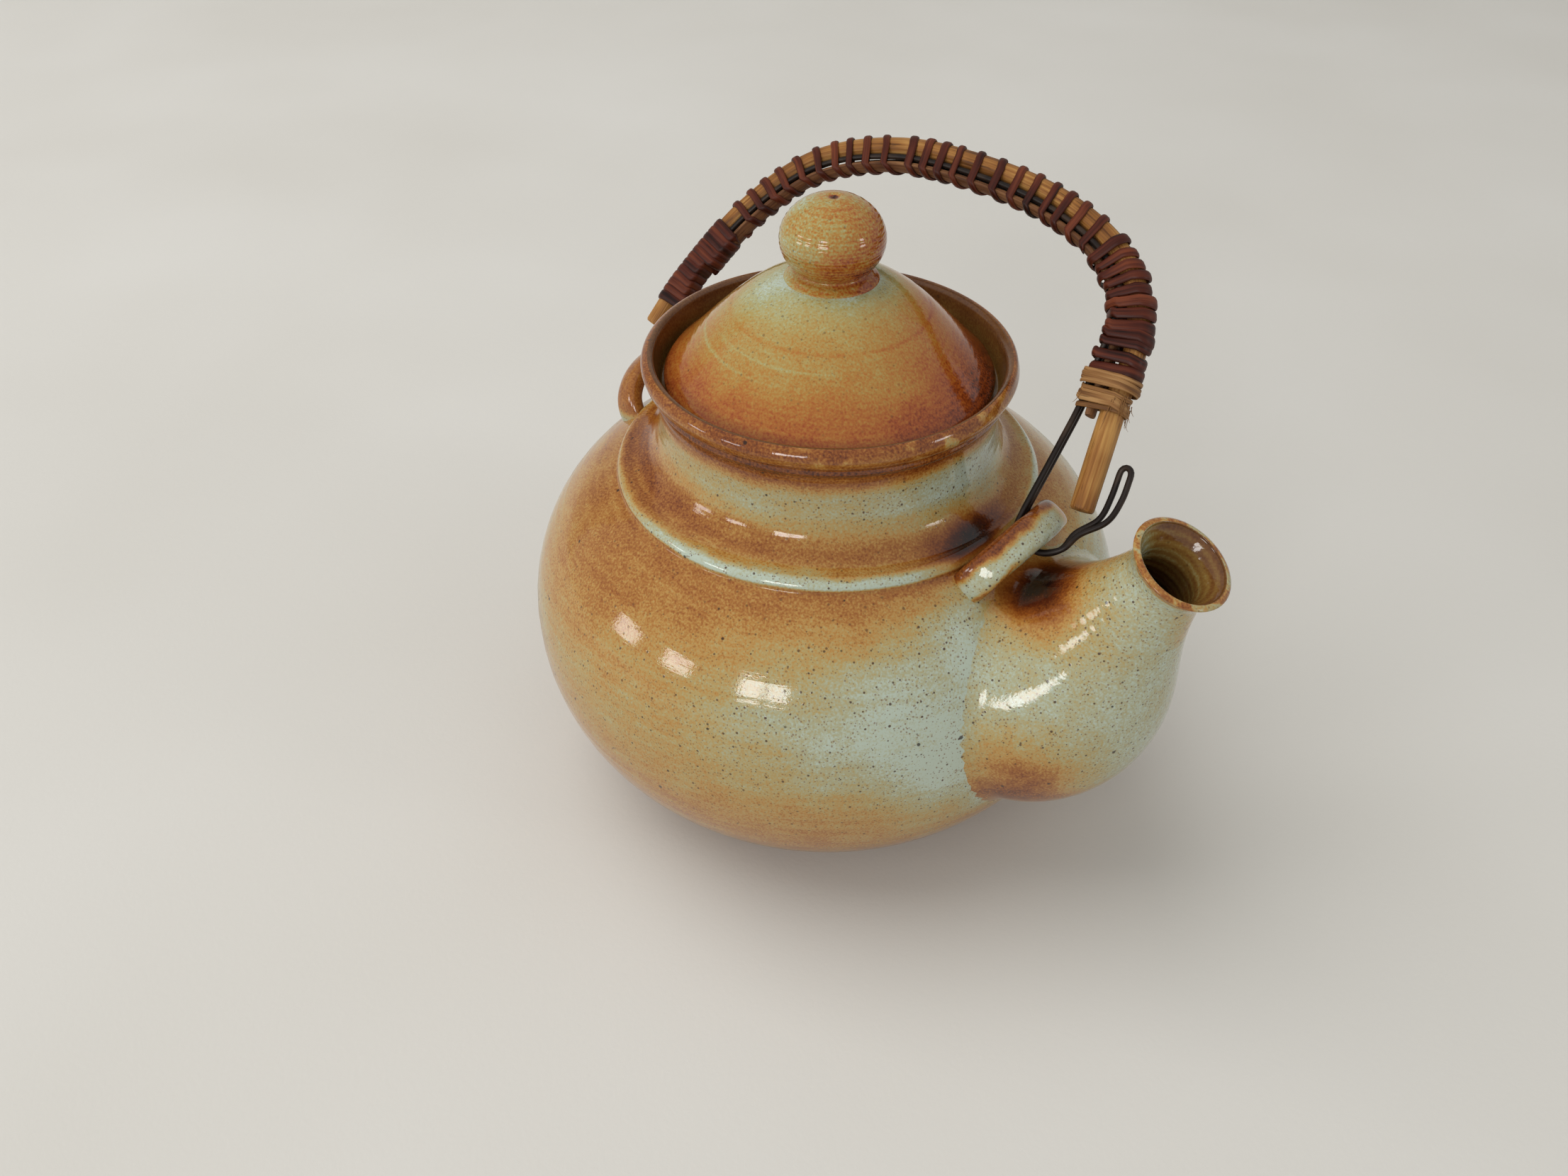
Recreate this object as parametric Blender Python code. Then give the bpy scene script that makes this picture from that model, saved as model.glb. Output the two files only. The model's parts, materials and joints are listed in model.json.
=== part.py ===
"""Thrown stoneware teapot with a loose lid and a swinging cane bail handle.

The pot stands on the plane z = 0 with its axis on Z and its spout towards +X. The bail hangs by wire hooks
in two clay lugs and turns about an X axis through their eyes. All sizes are in metres.
"""

import math

import bmesh
import bpy
from mathutils import Vector

MM = 0.001

# Pot body
BODY_RADIUS = 91.0 * MM
EQUATOR_HEIGHT = 59.2 * MM
LOWER_DEPTH = 72.6 * MM          # half height of the ellipse under the equator, cut by the base
SHOULDER_HEIGHT = 62.5 * MM      # half height of the fuller curve over the equator
SHOULDER_FULLNESS = 2.35         # exponent of that curve: 2 is an ellipse
WALL = 5.0 * MM
FLOOR_THICKNESS = 5.5 * MM
BASE_CHAMFER = 1.2 * MM

# Ledge, neck and mouth
LEDGE_RADIUS = 62.3 * MM
LEDGE_RISE = 3.9 * MM
NECK_RADIUS = 47.0 * MM
LIP_RADIUS = 53.0 * MM
LIP_HEIGHT = 146.7 * MM
LIP_THICKNESS = 3.7 * MM
GALLERY_DEPTH = 9.0 * MM
SEAT_WIDTH = 8.0 * MM
GALLERY_TAPER = 1.3 * MM         # how much narrower the gallery is at its seat

# Spout, in the XZ plane
SPOUT_ROOT_RADIUS = 36.0 * MM
SPOUT_BELLY = 48.0 * MM          # control radius that swells the spout above its root
SPOUT_TAPER = 15.0 * MM          # control radius that draws it in to the neck
SPOUT_NECK_RADIUS = 9.6 * MM
SPOUT_MOUTH_RADIUS = 13.9 * MM
SPOUT_WALL = 3.6 * MM
SPOUT_REACH = 20.8 * MM          # mouth centre beyond the body
SPOUT_MOUTH_DROP = 18.3 * MM     # mouth centre under the lip
SPOUT_MOUTH_TILT = math.radians(64.65)   # mouth axis above the horizontal
SPOUT_FLARE_LENGTH = 9.0 * MM

# Strainer holes through the body wall behind the spout
STRAINER_HOLE_RADIUS = 2.0 * MM
STRAINER_PITCH = 9.0 * MM
STRAINER_RISE = 11.0 * MM        # centre of the pattern above the equator

# Lugs
LUG_OFFSET = 8.6 * MM            # crown centre outside the ledge
LUG_HALF_SPAN = 18.0 * MM
LUG_RISE = 12.5 * MM             # crown centre from the foot of its curve, along the lean
LUG_LEAN = math.radians(31.0)    # of the arch away from the neck
LUG_STAND = 14.37 * MM           # crown centre above the shoulder's surface
LUG_HALF_WIDTH = 4.8 * MM        # along the eye
LUG_HALF_THICKNESS = 3.0 * MM    # across the arch
LUG_BURIED = 9.0 * MM            # how far its feet run on into the shoulder before they are trimmed

# Lid and knob
LID_CLEARANCE = 1.2 * MM
LID_EDGE_THICKNESS = 3.6 * MM
LID_RISE = 27.4 * MM             # crown above the edge
LID_WALL = 4.6 * MM
LID_CROWN_RADIUS = 9.5 * MM
FLANGE_CLEARANCE = 1.4 * MM
FLANGE_DEPTH = 8.0 * MM
FLANGE_THICKNESS = 3.2 * MM
KNOB_RADIUS = 14.3 * MM
KNOB_HALF_HEIGHT = 11.5 * MM
KNOB_FOOT_RADIUS = 9.6 * MM
KNOB_WALL = 3.8 * MM
VENT_RADIUS = 2.6 * MM

# Bail handle
HANDLE_LEAN = math.radians(42.0)  # from upright, away from the front (-Y) side
HANDLE_RISE = 92.8 * MM           # crown of the outer cane above the hinge axis
HANDLE_END_RISE = 14.5 * MM       # cut ends above the hinge axis
CANE_RADIUS = 3.0 * MM
CANE_END_RADIUS = 3.3 * MM
INNER_CANE_HALF_WIDTH = 2.7 * MM
INNER_CANE_HALF_THICKNESS = 1.3 * MM
CANE_SPACING = 1.5 * MM           # between the two canes
WIRE_RADIUS = 0.85 * MM
STRAND_HALF_GAP = 1.0 * MM        # half the distance between the doubled strands' centres in a hook
STRIP_WIDTH = 2.6 * MM
STRIP_THICKNESS = 0.8 * MM
REAR_WRAP_START = 6.5 * MM        # from the rear cut end, along the cane
REAR_WRAP_LENGTH = 34.0 * MM
FRONT_WRAP_LENGTH = 44.0 * MM
BINDING_LENGTH = 8.0 * MM
BINDING_FROM_END = 27.0 * MM      # from the front cut end
SPACED_TURNS = 22

# Fits
LUTE_GAP = 0.3 * MM               # clay pieces that are luted together
WRAP_CLEARANCE = 0.3 * MM
HOOK_CLEARANCE = 0.35 * MM
LEG_SPACE = 0.8 * MM             # extra room between a hook's inner leg and the leaning lug
SWING_CLEARANCE = 0.4 * MM
SEAT_GAP = 0.3 * MM

# Facets
POT_SEGMENTS = 40
SPOUT_SEGMENTS = 24
LID_SEGMENTS = 36
KNOB_SEGMENTS = 24
CANE_SIDES = 10
WIRE_SIDES = 6
WRAP_SIDES = 14

# Derived places
BODY_TOP_Z = LIP_HEIGHT
GALLERY_RADIUS = LIP_RADIUS - LIP_THICKNESS
SEAT_HEIGHT = LIP_HEIGHT - GALLERY_DEPTH
SEAT_OUTER_RADIUS = GALLERY_RADIUS - GALLERY_TAPER
SEAT_INNER_RADIUS = SEAT_OUTER_RADIUS - SEAT_WIDTH
LUG_X = LEDGE_RADIUS + LUG_OFFSET


def shoulder_height(radius):
    """Height of the body's outer surface over the equator at this radius."""
    share = 1.0 - (radius / BODY_RADIUS) ** SHOULDER_FULLNESS
    return EQUATOR_HEIGHT + SHOULDER_HEIGHT * share ** (1.0 / SHOULDER_FULLNESS)


LUG_CROWN_Z = shoulder_height(LUG_X) + LUG_STAND
LUG_REACH = math.hypot(LUG_HALF_WIDTH * math.cos(LUG_LEAN), LUG_HALF_THICKNESS * math.sin(LUG_LEAN))
LUG_DROP = math.hypot(LUG_HALF_WIDTH * math.sin(LUG_LEAN), LUG_HALF_THICKNESS * math.cos(LUG_LEAN))
LUG_UNDERSIDE = LUG_CROWN_Z - LUG_DROP
PIVOT_Z = LUG_UNDERSIDE - STRAND_HALF_GAP - WIRE_RADIUS - HOOK_CLEARANCE
INNER_LEG_X = LUG_X - LUG_REACH - WIRE_RADIUS - HOOK_CLEARANCE - LEG_SPACE
CANE_END_X = LUG_X + LUG_REACH + SWING_CLEARANCE + CANE_END_RADIUS
INNER_CANE_OFFSET = -(CANE_RADIUS + CANE_SPACING + INNER_CANE_HALF_THICKNESS)
WIRE_SIDE = 2.1 * MM
WIRE_OFFSET = -math.sqrt((CANE_RADIUS + WIRE_RADIUS + WRAP_CLEARANCE) ** 2 - WIRE_SIDE ** 2)


# ---------------------------------------------------------------- scene and meshes


def clear_scene():
    for old in list(bpy.data.objects):
        bpy.data.objects.remove(old, do_unlink=True)


def finish(name, colour, roughness, metallic=0.0):
    """A Principled material in one colour."""
    made = bpy.data.materials.new(name)
    made.use_nodes = True
    shader = made.node_tree.nodes["Principled BSDF"]
    shader.inputs["Base Color"].default_value = (*colour, 1.0)
    shader.inputs["Roughness"].default_value = roughness
    shader.inputs["Metallic"].default_value = metallic
    return made


def add_object(name, mesh_builder, material, parent=None):
    """Puts a bmesh into the scene as a smooth, closed, outward facing object."""
    bmesh.ops.recalc_face_normals(mesh_builder, faces=mesh_builder.faces)
    if mesh_builder.calc_volume(signed=True) < 0:
        bmesh.ops.reverse_faces(mesh_builder, faces=mesh_builder.faces)
    mesh = bpy.data.meshes.new(name)
    mesh_builder.to_mesh(mesh)
    mesh_builder.free()
    mesh.shade_smooth()
    mesh.set_sharp_from_angle(angle=math.radians(40.0))
    made = bpy.data.objects.new(name, mesh)
    bpy.context.scene.collection.objects.link(made)
    if material:
        made.data.materials.append(material)
    made.parent = parent
    return made


def turned(outline, segments):
    """A solid of revolution about Z from a closed outline of (radius, height) points."""
    shape = bmesh.new()
    points = [shape.verts.new((radius, 0.0, height)) for radius, height in outline]
    edges = [shape.edges.new((a, b)) for a, b in zip(points, points[1:])]
    if outline[0][0] > 0.0 or outline[-1][0] > 0.0:
        edges.append(shape.edges.new((points[-1], points[0])))
    bmesh.ops.spin(
        shape, geom=points + edges, cent=(0, 0, 0), axis=(0, 0, 1), angle=2 * math.pi, steps=segments
    )
    bmesh.ops.remove_doubles(shape, verts=shape.verts, dist=0.002 * MM)
    return shape


def lofted(rings, closed=False):
    """A skin over rings of points: with end caps, or joined end to end where closed."""
    shape = bmesh.new()
    rows = [[shape.verts.new(point) for point in ring] for ring in rings]
    sides = len(rows[0])
    pairs = list(zip(rows, rows[1:]))
    if closed:
        pairs.append((rows[-1], rows[0]))
    for first, second in pairs:
        for i in range(sides):
            j = (i + 1) % sides
            shape.faces.new((first[i], first[j], second[j], second[i]))
    if not closed:
        shape.faces.new(rows[0])
        shape.faces.new(rows[-1])
    return shape


def cut(target, cutter):
    """Leaves a Boolean difference on the target; the cutter is a hidden guide."""
    cutter.hide_render = True
    cutter.display_type = "WIRE"
    modifier = target.modifiers.new("Cut by " + cutter.name, "BOOLEAN")
    modifier.operation = "DIFFERENCE"
    modifier.object = cutter


# ---------------------------------------------------------------- curves


def bezier(p0, p1, p2, p3, steps):
    """Points of a cubic Bezier curve, with both ends."""
    points = []
    for i in range(steps + 1):
        t = i / steps
        weights = ((1 - t) ** 3, 3 * (1 - t) ** 2 * t, 3 * (1 - t) * t * t, t ** 3)
        points.append(tuple(sum(w * p[k] for w, p in zip(weights, (p0, p1, p2, p3))) for k in range(len(p0))))
    return points


def catmull_rom(points, steps):
    """A smooth curve through the points, with the given steps between each pair."""
    ends = [2 * points[0] - points[1], *points, 2 * points[-1] - points[-2]]
    curve = []
    for a, b, c, d in zip(ends, ends[1:], ends[2:], ends[3:]):
        for i in range(steps):
            t = i / steps
            curve.append(
                0.5 * (2 * b + (c - a) * t + (2 * a - 5 * b + 4 * c - d) * t ** 2 + (3 * b - a - 3 * c + d) * t ** 3)
            )
    return [*curve, points[-1].copy()]


def smoothstep(value):
    t = min(max(value, 0.0), 1.0)
    return t * t * (3.0 - 2.0 * t)


# ---------------------------------------------------------------- pot body


def lower_curve(radius, depth, lowest, steps):
    """Ellipse arc from the base up to the equator."""
    start = math.acos((EQUATOR_HEIGHT - lowest) / depth)
    angles = [start + (math.pi / 2 - start) * i / steps for i in range(steps)]
    return [(radius * math.sin(a), EQUATOR_HEIGHT - depth * math.cos(a)) for a in angles]


def upper_curve(radius, height, end_radius, steps):
    """Superelliptic arc from the equator in to the end radius."""
    power = 2.0 / SHOULDER_FULLNESS
    end = math.acos((end_radius / radius) ** (1.0 / power))
    angles = [end * i / steps for i in range(steps + 1)]
    return [
        (radius * math.cos(a) ** power, EQUATOR_HEIGHT + height * math.sin(a) ** power) for a in angles
    ]


def outer_outline():
    """Outside of the pot from the base's centre to the top of the lip."""
    base_radius = BODY_RADIUS * math.sqrt(1.0 - ((EQUATOR_HEIGHT - BASE_CHAMFER) / LOWER_DEPTH) ** 2)
    ledge_foot = shoulder_height(LEDGE_RADIUS)
    ledge_top = ledge_foot + LEDGE_RISE
    outline = [(0.0, 0.0), (base_radius - 1.5 * BASE_CHAMFER, 0.0)]
    outline += lower_curve(BODY_RADIUS, LOWER_DEPTH, BASE_CHAMFER, 9)
    outline += upper_curve(BODY_RADIUS, SHOULDER_HEIGHT, LEDGE_RADIUS, 9)
    outline += [
        (LEDGE_RADIUS + 0.1 * MM, ledge_foot + 0.30 * LEDGE_RISE),
        (LEDGE_RADIUS - 1.0 * MM, ledge_foot + 0.72 * LEDGE_RISE),
        (LEDGE_RADIUS - 2.6 * MM, ledge_top),
    ]
    neck_top = LIP_HEIGHT - 9.6 * MM
    outline += bezier(
        (LEDGE_RADIUS - 3.4 * MM, ledge_top - 0.2 * MM),
        (NECK_RADIUS + 3.5 * MM, ledge_top + 1.7 * MM),
        (NECK_RADIUS, ledge_top + 10.0 * MM),
        (LIP_RADIUS - 3.6 * MM, neck_top),
        6,
    )
    outline += [
        (LIP_RADIUS - 2.0 * MM, LIP_HEIGHT - 8.3 * MM),
        (LIP_RADIUS - 2.5 * MM, LIP_HEIGHT - 6.6 * MM),
        (LIP_RADIUS - 0.7 * MM, LIP_HEIGHT - 5.2 * MM),
        (LIP_RADIUS, LIP_HEIGHT - 2.9 * MM),
        (LIP_RADIUS - 0.5 * MM, LIP_HEIGHT - 1.0 * MM),
        (LIP_RADIUS - 1.6 * MM, LIP_HEIGHT),
    ]
    return outline


def inner_outline():
    """Inside of the pot from the lip down through the gallery to the floor's centre."""
    inner_radius = BODY_RADIUS - WALL
    neck_inner = NECK_RADIUS - 0.85 * WALL
    shoulder_end = LEDGE_RADIUS - WALL
    shoulder = upper_curve(inner_radius, SHOULDER_HEIGHT - WALL, shoulder_end, 6)
    outline = [
        (GALLERY_RADIUS + 0.9 * MM, LIP_HEIGHT),
        (GALLERY_RADIUS, LIP_HEIGHT - 0.8 * MM),
        (SEAT_OUTER_RADIUS, SEAT_HEIGHT),
        (SEAT_INNER_RADIUS + 0.8 * MM, SEAT_HEIGHT),
        (SEAT_INNER_RADIUS, SEAT_HEIGHT - 1.0 * MM),
        (SEAT_INNER_RADIUS, SEAT_HEIGHT - 2.2 * MM),
    ]
    outline += bezier(
        (neck_inner, SEAT_HEIGHT - 9.0 * MM),
        (neck_inner, SEAT_HEIGHT - 17.0 * MM),
        (neck_inner + 3.2 * MM, shoulder[-1][1] + 6.0 * MM),
        shoulder[-1],
        4,
    )
    outline += reversed(shoulder[:-1])
    outline += reversed(lower_curve(inner_radius, LOWER_DEPTH - WALL, FLOOR_THICKNESS + 2.0 * MM, 6))
    outline += [(BODY_RADIUS * 0.53, FLOOR_THICKNESS), (0.0, FLOOR_THICKNESS)]
    return outline


def grown(outline, gap):
    """The outline moved outwards by the gap, along the bisector at each point."""
    moved = []
    for i, (radius, height) in enumerate(outline):
        before = outline[max(i - 1, 0)]
        after = outline[min(i + 1, len(outline) - 1)]
        run, rise = after[0] - before[0], after[1] - before[1]
        length = math.hypot(run, rise)
        moved.append((max(radius + gap * rise / length, 0.0), height - gap * run / length))
    return moved


def body_cutter():
    """The filled pot grown by the luting gap, which trims what is luted onto it."""
    outline = grown(outer_outline(), LUTE_GAP)
    outline[0] = (0.0, -LUTE_GAP)
    outline.append((0.0, LIP_HEIGHT + LUTE_GAP))
    return add_object("body_cutter", turned(outline, 2 * POT_SEGMENTS), None)


def strainer_cutter():
    """A hexagonal pattern of drills that run out through the wall behind the spout."""
    shape = bmesh.new()
    centre_z = EQUATOR_HEIGHT + STRAINER_RISE
    row_rise = STRAINER_PITCH * math.sqrt(3.0) / 2.0
    for row in (-1, 0, 1):
        count = 5 - abs(row)
        for i in range(count):
            y = (i - (count - 1) / 2.0) * STRAINER_PITCH
            drill = bmesh.ops.create_cone(
                shape, cap_ends=True, segments=8, radius1=STRAINER_HOLE_RADIUS, radius2=STRAINER_HOLE_RADIUS,
                depth=WALL * 5.0,
            )
            for vertex in drill["verts"]:
                x, side, along = vertex.co
                vertex.co = Vector((BODY_RADIUS - WALL + along, y + side, centre_z + row * row_rise - x))
    return add_object("strainer_cutter", shape, None)


def build_pot(material):
    pot = add_object("pot_body", turned(outer_outline() + inner_outline(), POT_SEGMENTS), material)
    cut(pot, strainer_cutter())
    return pot


# ---------------------------------------------------------------- spout


def spout_axis():
    """Control points of the spout's axis in the XZ plane, root to mouth."""
    mouth = (BODY_RADIUS + SPOUT_REACH, LIP_HEIGHT - SPOUT_MOUTH_DROP)
    pull = 43.0 * MM
    toe = (mouth[0] - pull * math.cos(SPOUT_MOUTH_TILT), mouth[1] - pull * math.sin(SPOUT_MOUTH_TILT))
    root = (BODY_RADIUS - 25.5 * MM, EQUATOR_HEIGHT + 5.3 * MM)
    heel = (BODY_RADIUS + 1.7 * MM, EQUATOR_HEIGHT + 20.6 * MM)
    return root, heel, toe, mouth


def spout_ring(centre, direction, radius):
    """A circle square to the direction, which lies in the XZ plane."""
    across = Vector((0.0, 1.0, 0.0))
    upward = direction.cross(across)
    angles = [2 * math.pi * i / SPOUT_SEGMENTS for i in range(SPOUT_SEGMENTS)]
    return [centre + radius * (math.cos(a) * across + math.sin(a) * upward) for a in angles]


def flare(distance_to_mouth):
    """How far the wall turns out near the mouth: a quadratic lip."""
    share = max(0.0, 1.0 - distance_to_mouth / SPOUT_FLARE_LENGTH)
    return (SPOUT_MOUTH_RADIUS - SPOUT_NECK_RADIUS) * share ** 2


def spout_rings(inset):
    """The spout's outline as rings from root to mouth, this far inside its outer surface."""
    root, heel, toe, mouth = spout_axis()
    steps = 14
    axis = [Vector((x, 0.0, z)) for x, z in bezier(root, heel, toe, mouth, steps)]
    radii = [
        r for (r,) in bezier((SPOUT_ROOT_RADIUS,), (SPOUT_BELLY,), (SPOUT_TAPER,), (SPOUT_NECK_RADIUS,), steps)
    ]
    mouth_axis = Vector((math.cos(SPOUT_MOUTH_TILT), 0.0, math.sin(SPOUT_MOUTH_TILT)))
    rings = []
    for i, (centre, radius) in enumerate(zip(axis, radii)):
        ahead, behind = axis[min(i + 1, steps)], axis[max(i - 1, 0)]
        direction = mouth_axis if i == steps else (ahead - behind).normalized()
        rings.append(spout_ring(centre, direction, radius + flare((axis[-1] - centre).length) - inset))
    return rings


def build_spout(material, cutter):
    """A hollow tapering tube, cut at its root to the pot's outside."""
    rings = spout_rings(0.0) + list(reversed(spout_rings(SPOUT_WALL)))
    spout = add_object("spout", lofted(rings, closed=True), material)
    cut(spout, cutter)
    return spout


def spout_cutter():
    """The filled spout grown by the luting gap, which trims the lug beside it."""
    return add_object("spout_cutter", lofted(spout_rings(-LUTE_GAP)), None)


# ---------------------------------------------------------------- lugs


def build_lug(name, side, material, cutters):
    """A clay strap bent into an arch that leans away from the neck, trimmed to what it is luted against."""
    up = Vector((side * math.sin(LUG_LEAN), 0.0, math.cos(LUG_LEAN)))
    across = Vector((math.cos(LUG_LEAN), 0.0, -side * math.sin(LUG_LEAN)))
    foot = Vector((side * LUG_X, 0.0, LUG_CROWN_Z)) - LUG_RISE * up
    arch_steps = 12
    angles = [math.pi * i / arch_steps for i in range(arch_steps + 1)]
    path = [(-LUG_HALF_SPAN, -LUG_BURIED, 0.0)]
    path += [(-LUG_HALF_SPAN * math.cos(a), LUG_RISE * math.sin(a), a) for a in angles]
    path.append((LUG_HALF_SPAN, -LUG_BURIED, math.pi))
    rings = []
    for y, rise, angle in path:
        outward = Vector((0.0, -math.cos(angle) * LUG_RISE, 0.0)) + math.sin(angle) * LUG_HALF_SPAN * up
        outward.normalize()
        centre = foot + rise * up + Vector((0.0, y, 0.0))
        ring = []
        for i in range(CANE_SIDES):
            turn = 2 * math.pi * i / CANE_SIDES
            ring.append(
                centre + LUG_HALF_WIDTH * math.cos(turn) * across + LUG_HALF_THICKNESS * math.sin(turn) * outward
            )
        rings.append(ring)
    lug = add_object(name, lofted(rings), material)
    for cutter in cutters:
        cut(lug, cutter)
    return lug


# ---------------------------------------------------------------- lid and knob


def lid_crown_height():
    return SEAT_HEIGHT + SEAT_GAP + LID_EDGE_THICKNESS + LID_RISE


def build_lid(material):
    """A bell shaped lid with a locating flange and a vent under the knob."""
    edge_radius = SEAT_OUTER_RADIUS - LID_CLEARANCE
    flange_radius = SEAT_INNER_RADIUS - FLANGE_CLEARANCE
    seat = SEAT_HEIGHT + SEAT_GAP
    edge_top = seat + LID_EDGE_THICKNESS
    crown = lid_crown_height()
    run = edge_radius - LID_CROWN_RADIUS
    outline = [(VENT_RADIUS, crown)]
    outline += bezier(
        (LID_CROWN_RADIUS, crown),
        (LID_CROWN_RADIUS + 0.40 * run, crown - 2.5 * MM),
        (LID_CROWN_RADIUS + 0.65 * run, crown - 16.5 * MM),
        (edge_radius - 0.8 * MM, edge_top),
        8,
    )
    outline += [
        (edge_radius, edge_top - 1.0 * MM),
        (edge_radius - 0.3 * MM, seat + 0.5 * MM),
        (edge_radius - 1.0 * MM, seat),
        (flange_radius, seat),
        (flange_radius - 0.3 * MM, seat - FLANGE_DEPTH + 0.8 * MM),
        (flange_radius - 1.2 * MM, seat - FLANGE_DEPTH),
        (flange_radius - FLANGE_THICKNESS, seat - FLANGE_DEPTH + 0.4 * MM),
        (flange_radius - FLANGE_THICKNESS - 0.4 * MM, seat),
    ]
    outline += bezier(
        (flange_radius - FLANGE_THICKNESS - 1.4 * MM, seat + 4.0 * MM),
        (LID_CROWN_RADIUS + 0.52 * run, crown - 17.0 * MM),
        (LID_CROWN_RADIUS + 0.28 * run, crown - LID_WALL - 2.0 * MM),
        (LID_CROWN_RADIUS, crown - LID_WALL),
        5,
    )
    outline.append((VENT_RADIUS, crown - LID_WALL))
    return add_object("lid", turned(outline, LID_SEGMENTS), material)


def build_knob(material):
    """A hollow flattened ball on a short foot, vented down through the lid."""
    foot = lid_crown_height() + LUTE_GAP
    centre = foot + 0.85 * KNOB_HALF_HEIGHT
    inner_radius = KNOB_RADIUS - KNOB_WALL
    inner_half = KNOB_HALF_HEIGHT - KNOB_WALL
    start = math.asin((KNOB_FOOT_RADIUS + 1.2 * MM) / KNOB_RADIUS)
    outer_angles = [start + (math.pi - start) * i / 11 for i in range(12)]
    inner_start = math.asin(VENT_RADIUS / inner_radius)
    inner_angles = [math.pi + (inner_start - math.pi) * i / 7 for i in range(8)]
    outline = [(VENT_RADIUS, foot), (KNOB_FOOT_RADIUS - 0.4 * MM, foot), (KNOB_FOOT_RADIUS, foot + 0.9 * MM)]
    outline += [
        (max(KNOB_RADIUS * math.sin(a), 0.0), centre - KNOB_HALF_HEIGHT * math.cos(a)) for a in outer_angles[:-1]
    ]
    outline.append((0.0, centre + KNOB_HALF_HEIGHT))
    outline.append((0.0, centre + inner_half))
    outline += [
        (inner_radius * math.sin(a), centre - inner_half * math.cos(a)) for a in inner_angles[1:]
    ]
    return add_object("knob", turned_about_gap(outline, KNOB_SEGMENTS), material)


def turned_about_gap(outline, segments):
    """A turned solid whose outline touches the axis part way: the part on the axis makes no wall."""
    shape = bmesh.new()
    points = [shape.verts.new((radius, 0.0, height)) for radius, height in outline]
    ring = list(zip(points, points[1:] + points[:1]))
    edges = [shape.edges.new((a, b)) for a, b in ring if a.co.x > 0.0 or b.co.x > 0.0]
    bmesh.ops.spin(
        shape, geom=points + edges, cent=(0, 0, 0), axis=(0, 0, 1), angle=2 * math.pi, steps=segments
    )
    bmesh.ops.remove_doubles(shape, verts=shape.verts, dist=0.002 * MM)
    return shape


# ---------------------------------------------------------------- bail handle


class Arch:
    """The outer cane's centre line in the bail's own frame: X across the pot, Z away from the hinge axis."""

    def __init__(self):
        end, rise, low = CANE_END_X, HANDLE_RISE, HANDLE_END_RISE
        shape = [
            (-1.020, -0.02), (-0.976, 0.21), (-0.849, 0.556), (-0.634, 0.83), (-0.304, 0.972), (0.076, 1.0),
            (0.444, 0.959), (0.735, 0.834), (0.894, 0.619), (0.944, 0.326), (1.0, 0.0),
        ]
        points = [Vector((end * x, 0.0, low + (rise - low) * z)) for x, z in shape]
        self.points = catmull_rom(points, 12)
        self.reach = [0.0]
        for a, b in zip(self.points, self.points[1:]):
            self.reach.append(self.reach[-1] + (b - a).length)
        self.length = self.reach[-1]

    def at(self, distance):
        """Point and outward direction at a distance from the rear cut end."""
        distance = min(max(distance, 0.0), self.length)
        i = 0
        while i < len(self.reach) - 2 and self.reach[i + 1] < distance:
            i += 1
        share = (distance - self.reach[i]) / (self.reach[i + 1] - self.reach[i])
        before = self.points[max(i - 1, 0)]
        after = self.points[min(i + 2, len(self.points) - 1)]
        along = (after - before).normalized()
        return self.points[i].lerp(self.points[i + 1], share), Vector((-along.z, 0.0, along.x))

    def place(self, distance, outward, side):
        """A point given by its distance along, its offset outwards and its offset along Y."""
        point, out = self.at(distance)
        return point + outward * out + Vector((0.0, side, 0.0))


def cane_radius(arch, distance):
    """The outer cane is a little stouter towards its cut ends."""
    from_middle = abs(distance / arch.length - 0.5) * 2.0
    return CANE_RADIUS + (CANE_END_RADIUS - CANE_RADIUS) * smoothstep((from_middle - 0.5) / 0.4)


def inner_cane_span(arch):
    return REAR_WRAP_START + 0.65 * REAR_WRAP_LENGTH, arch.length - BINDING_FROM_END + 2.0 * MM


def wire_place(arch, distance):
    """(outward offset, side offset) of the wire strands beside the canes.

    In the arch they lie in the grooves between the canes. Under the front wrap they pass round the inner
    cane to leave on the inner side of the binding, and under the rear wrap they only draw in.
    """
    front = (distance - (arch.length - BINDING_FROM_END - BINDING_LENGTH - 28.0 * MM)) / (28.0 * MM)
    rear = (REAR_WRAP_START + 0.5 * REAR_WRAP_LENGTH - distance) / (0.5 * REAR_WRAP_LENGTH)
    outward = WIRE_OFFSET - 5.3 * MM * smoothstep(front) - 2.6 * MM * smoothstep(rear)
    side = WIRE_SIDE + (STRAND_HALF_GAP - WIRE_SIDE) * max(smoothstep(front), smoothstep(rear))
    if 0.0 < front < 1.0:
        side += 2.6 * MM * math.sin(math.pi * front) ** 2
    return outward, side


def stack_ovals(arch, distance):
    """Section of everything that a wrap goes round: (side, outward, half side, half outward) of each oval."""
    cane = cane_radius(arch, distance)
    ovals = [(0.0, 0.0, cane, cane)]
    start, end = inner_cane_span(arch)
    if start - 6.0 * MM <= distance <= end + 6.0 * MM:
        ovals.append((0.0, INNER_CANE_OFFSET, INNER_CANE_HALF_WIDTH, INNER_CANE_HALF_THICKNESS))
    outward, side = wire_place(arch, distance)
    ovals += [(sign * side, outward, WIRE_RADIUS, WIRE_RADIUS) for sign in (-1.0, 1.0)]
    return ovals


def support(ovals, angle):
    """How far the ovals reach in the direction of this angle."""
    cosine, sine = math.cos(angle), math.sin(angle)
    return max(
        side * cosine + outward * sine + math.hypot(half_side * cosine, half_out * sine)
        for side, outward, half_side, half_out in ovals
    )


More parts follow.
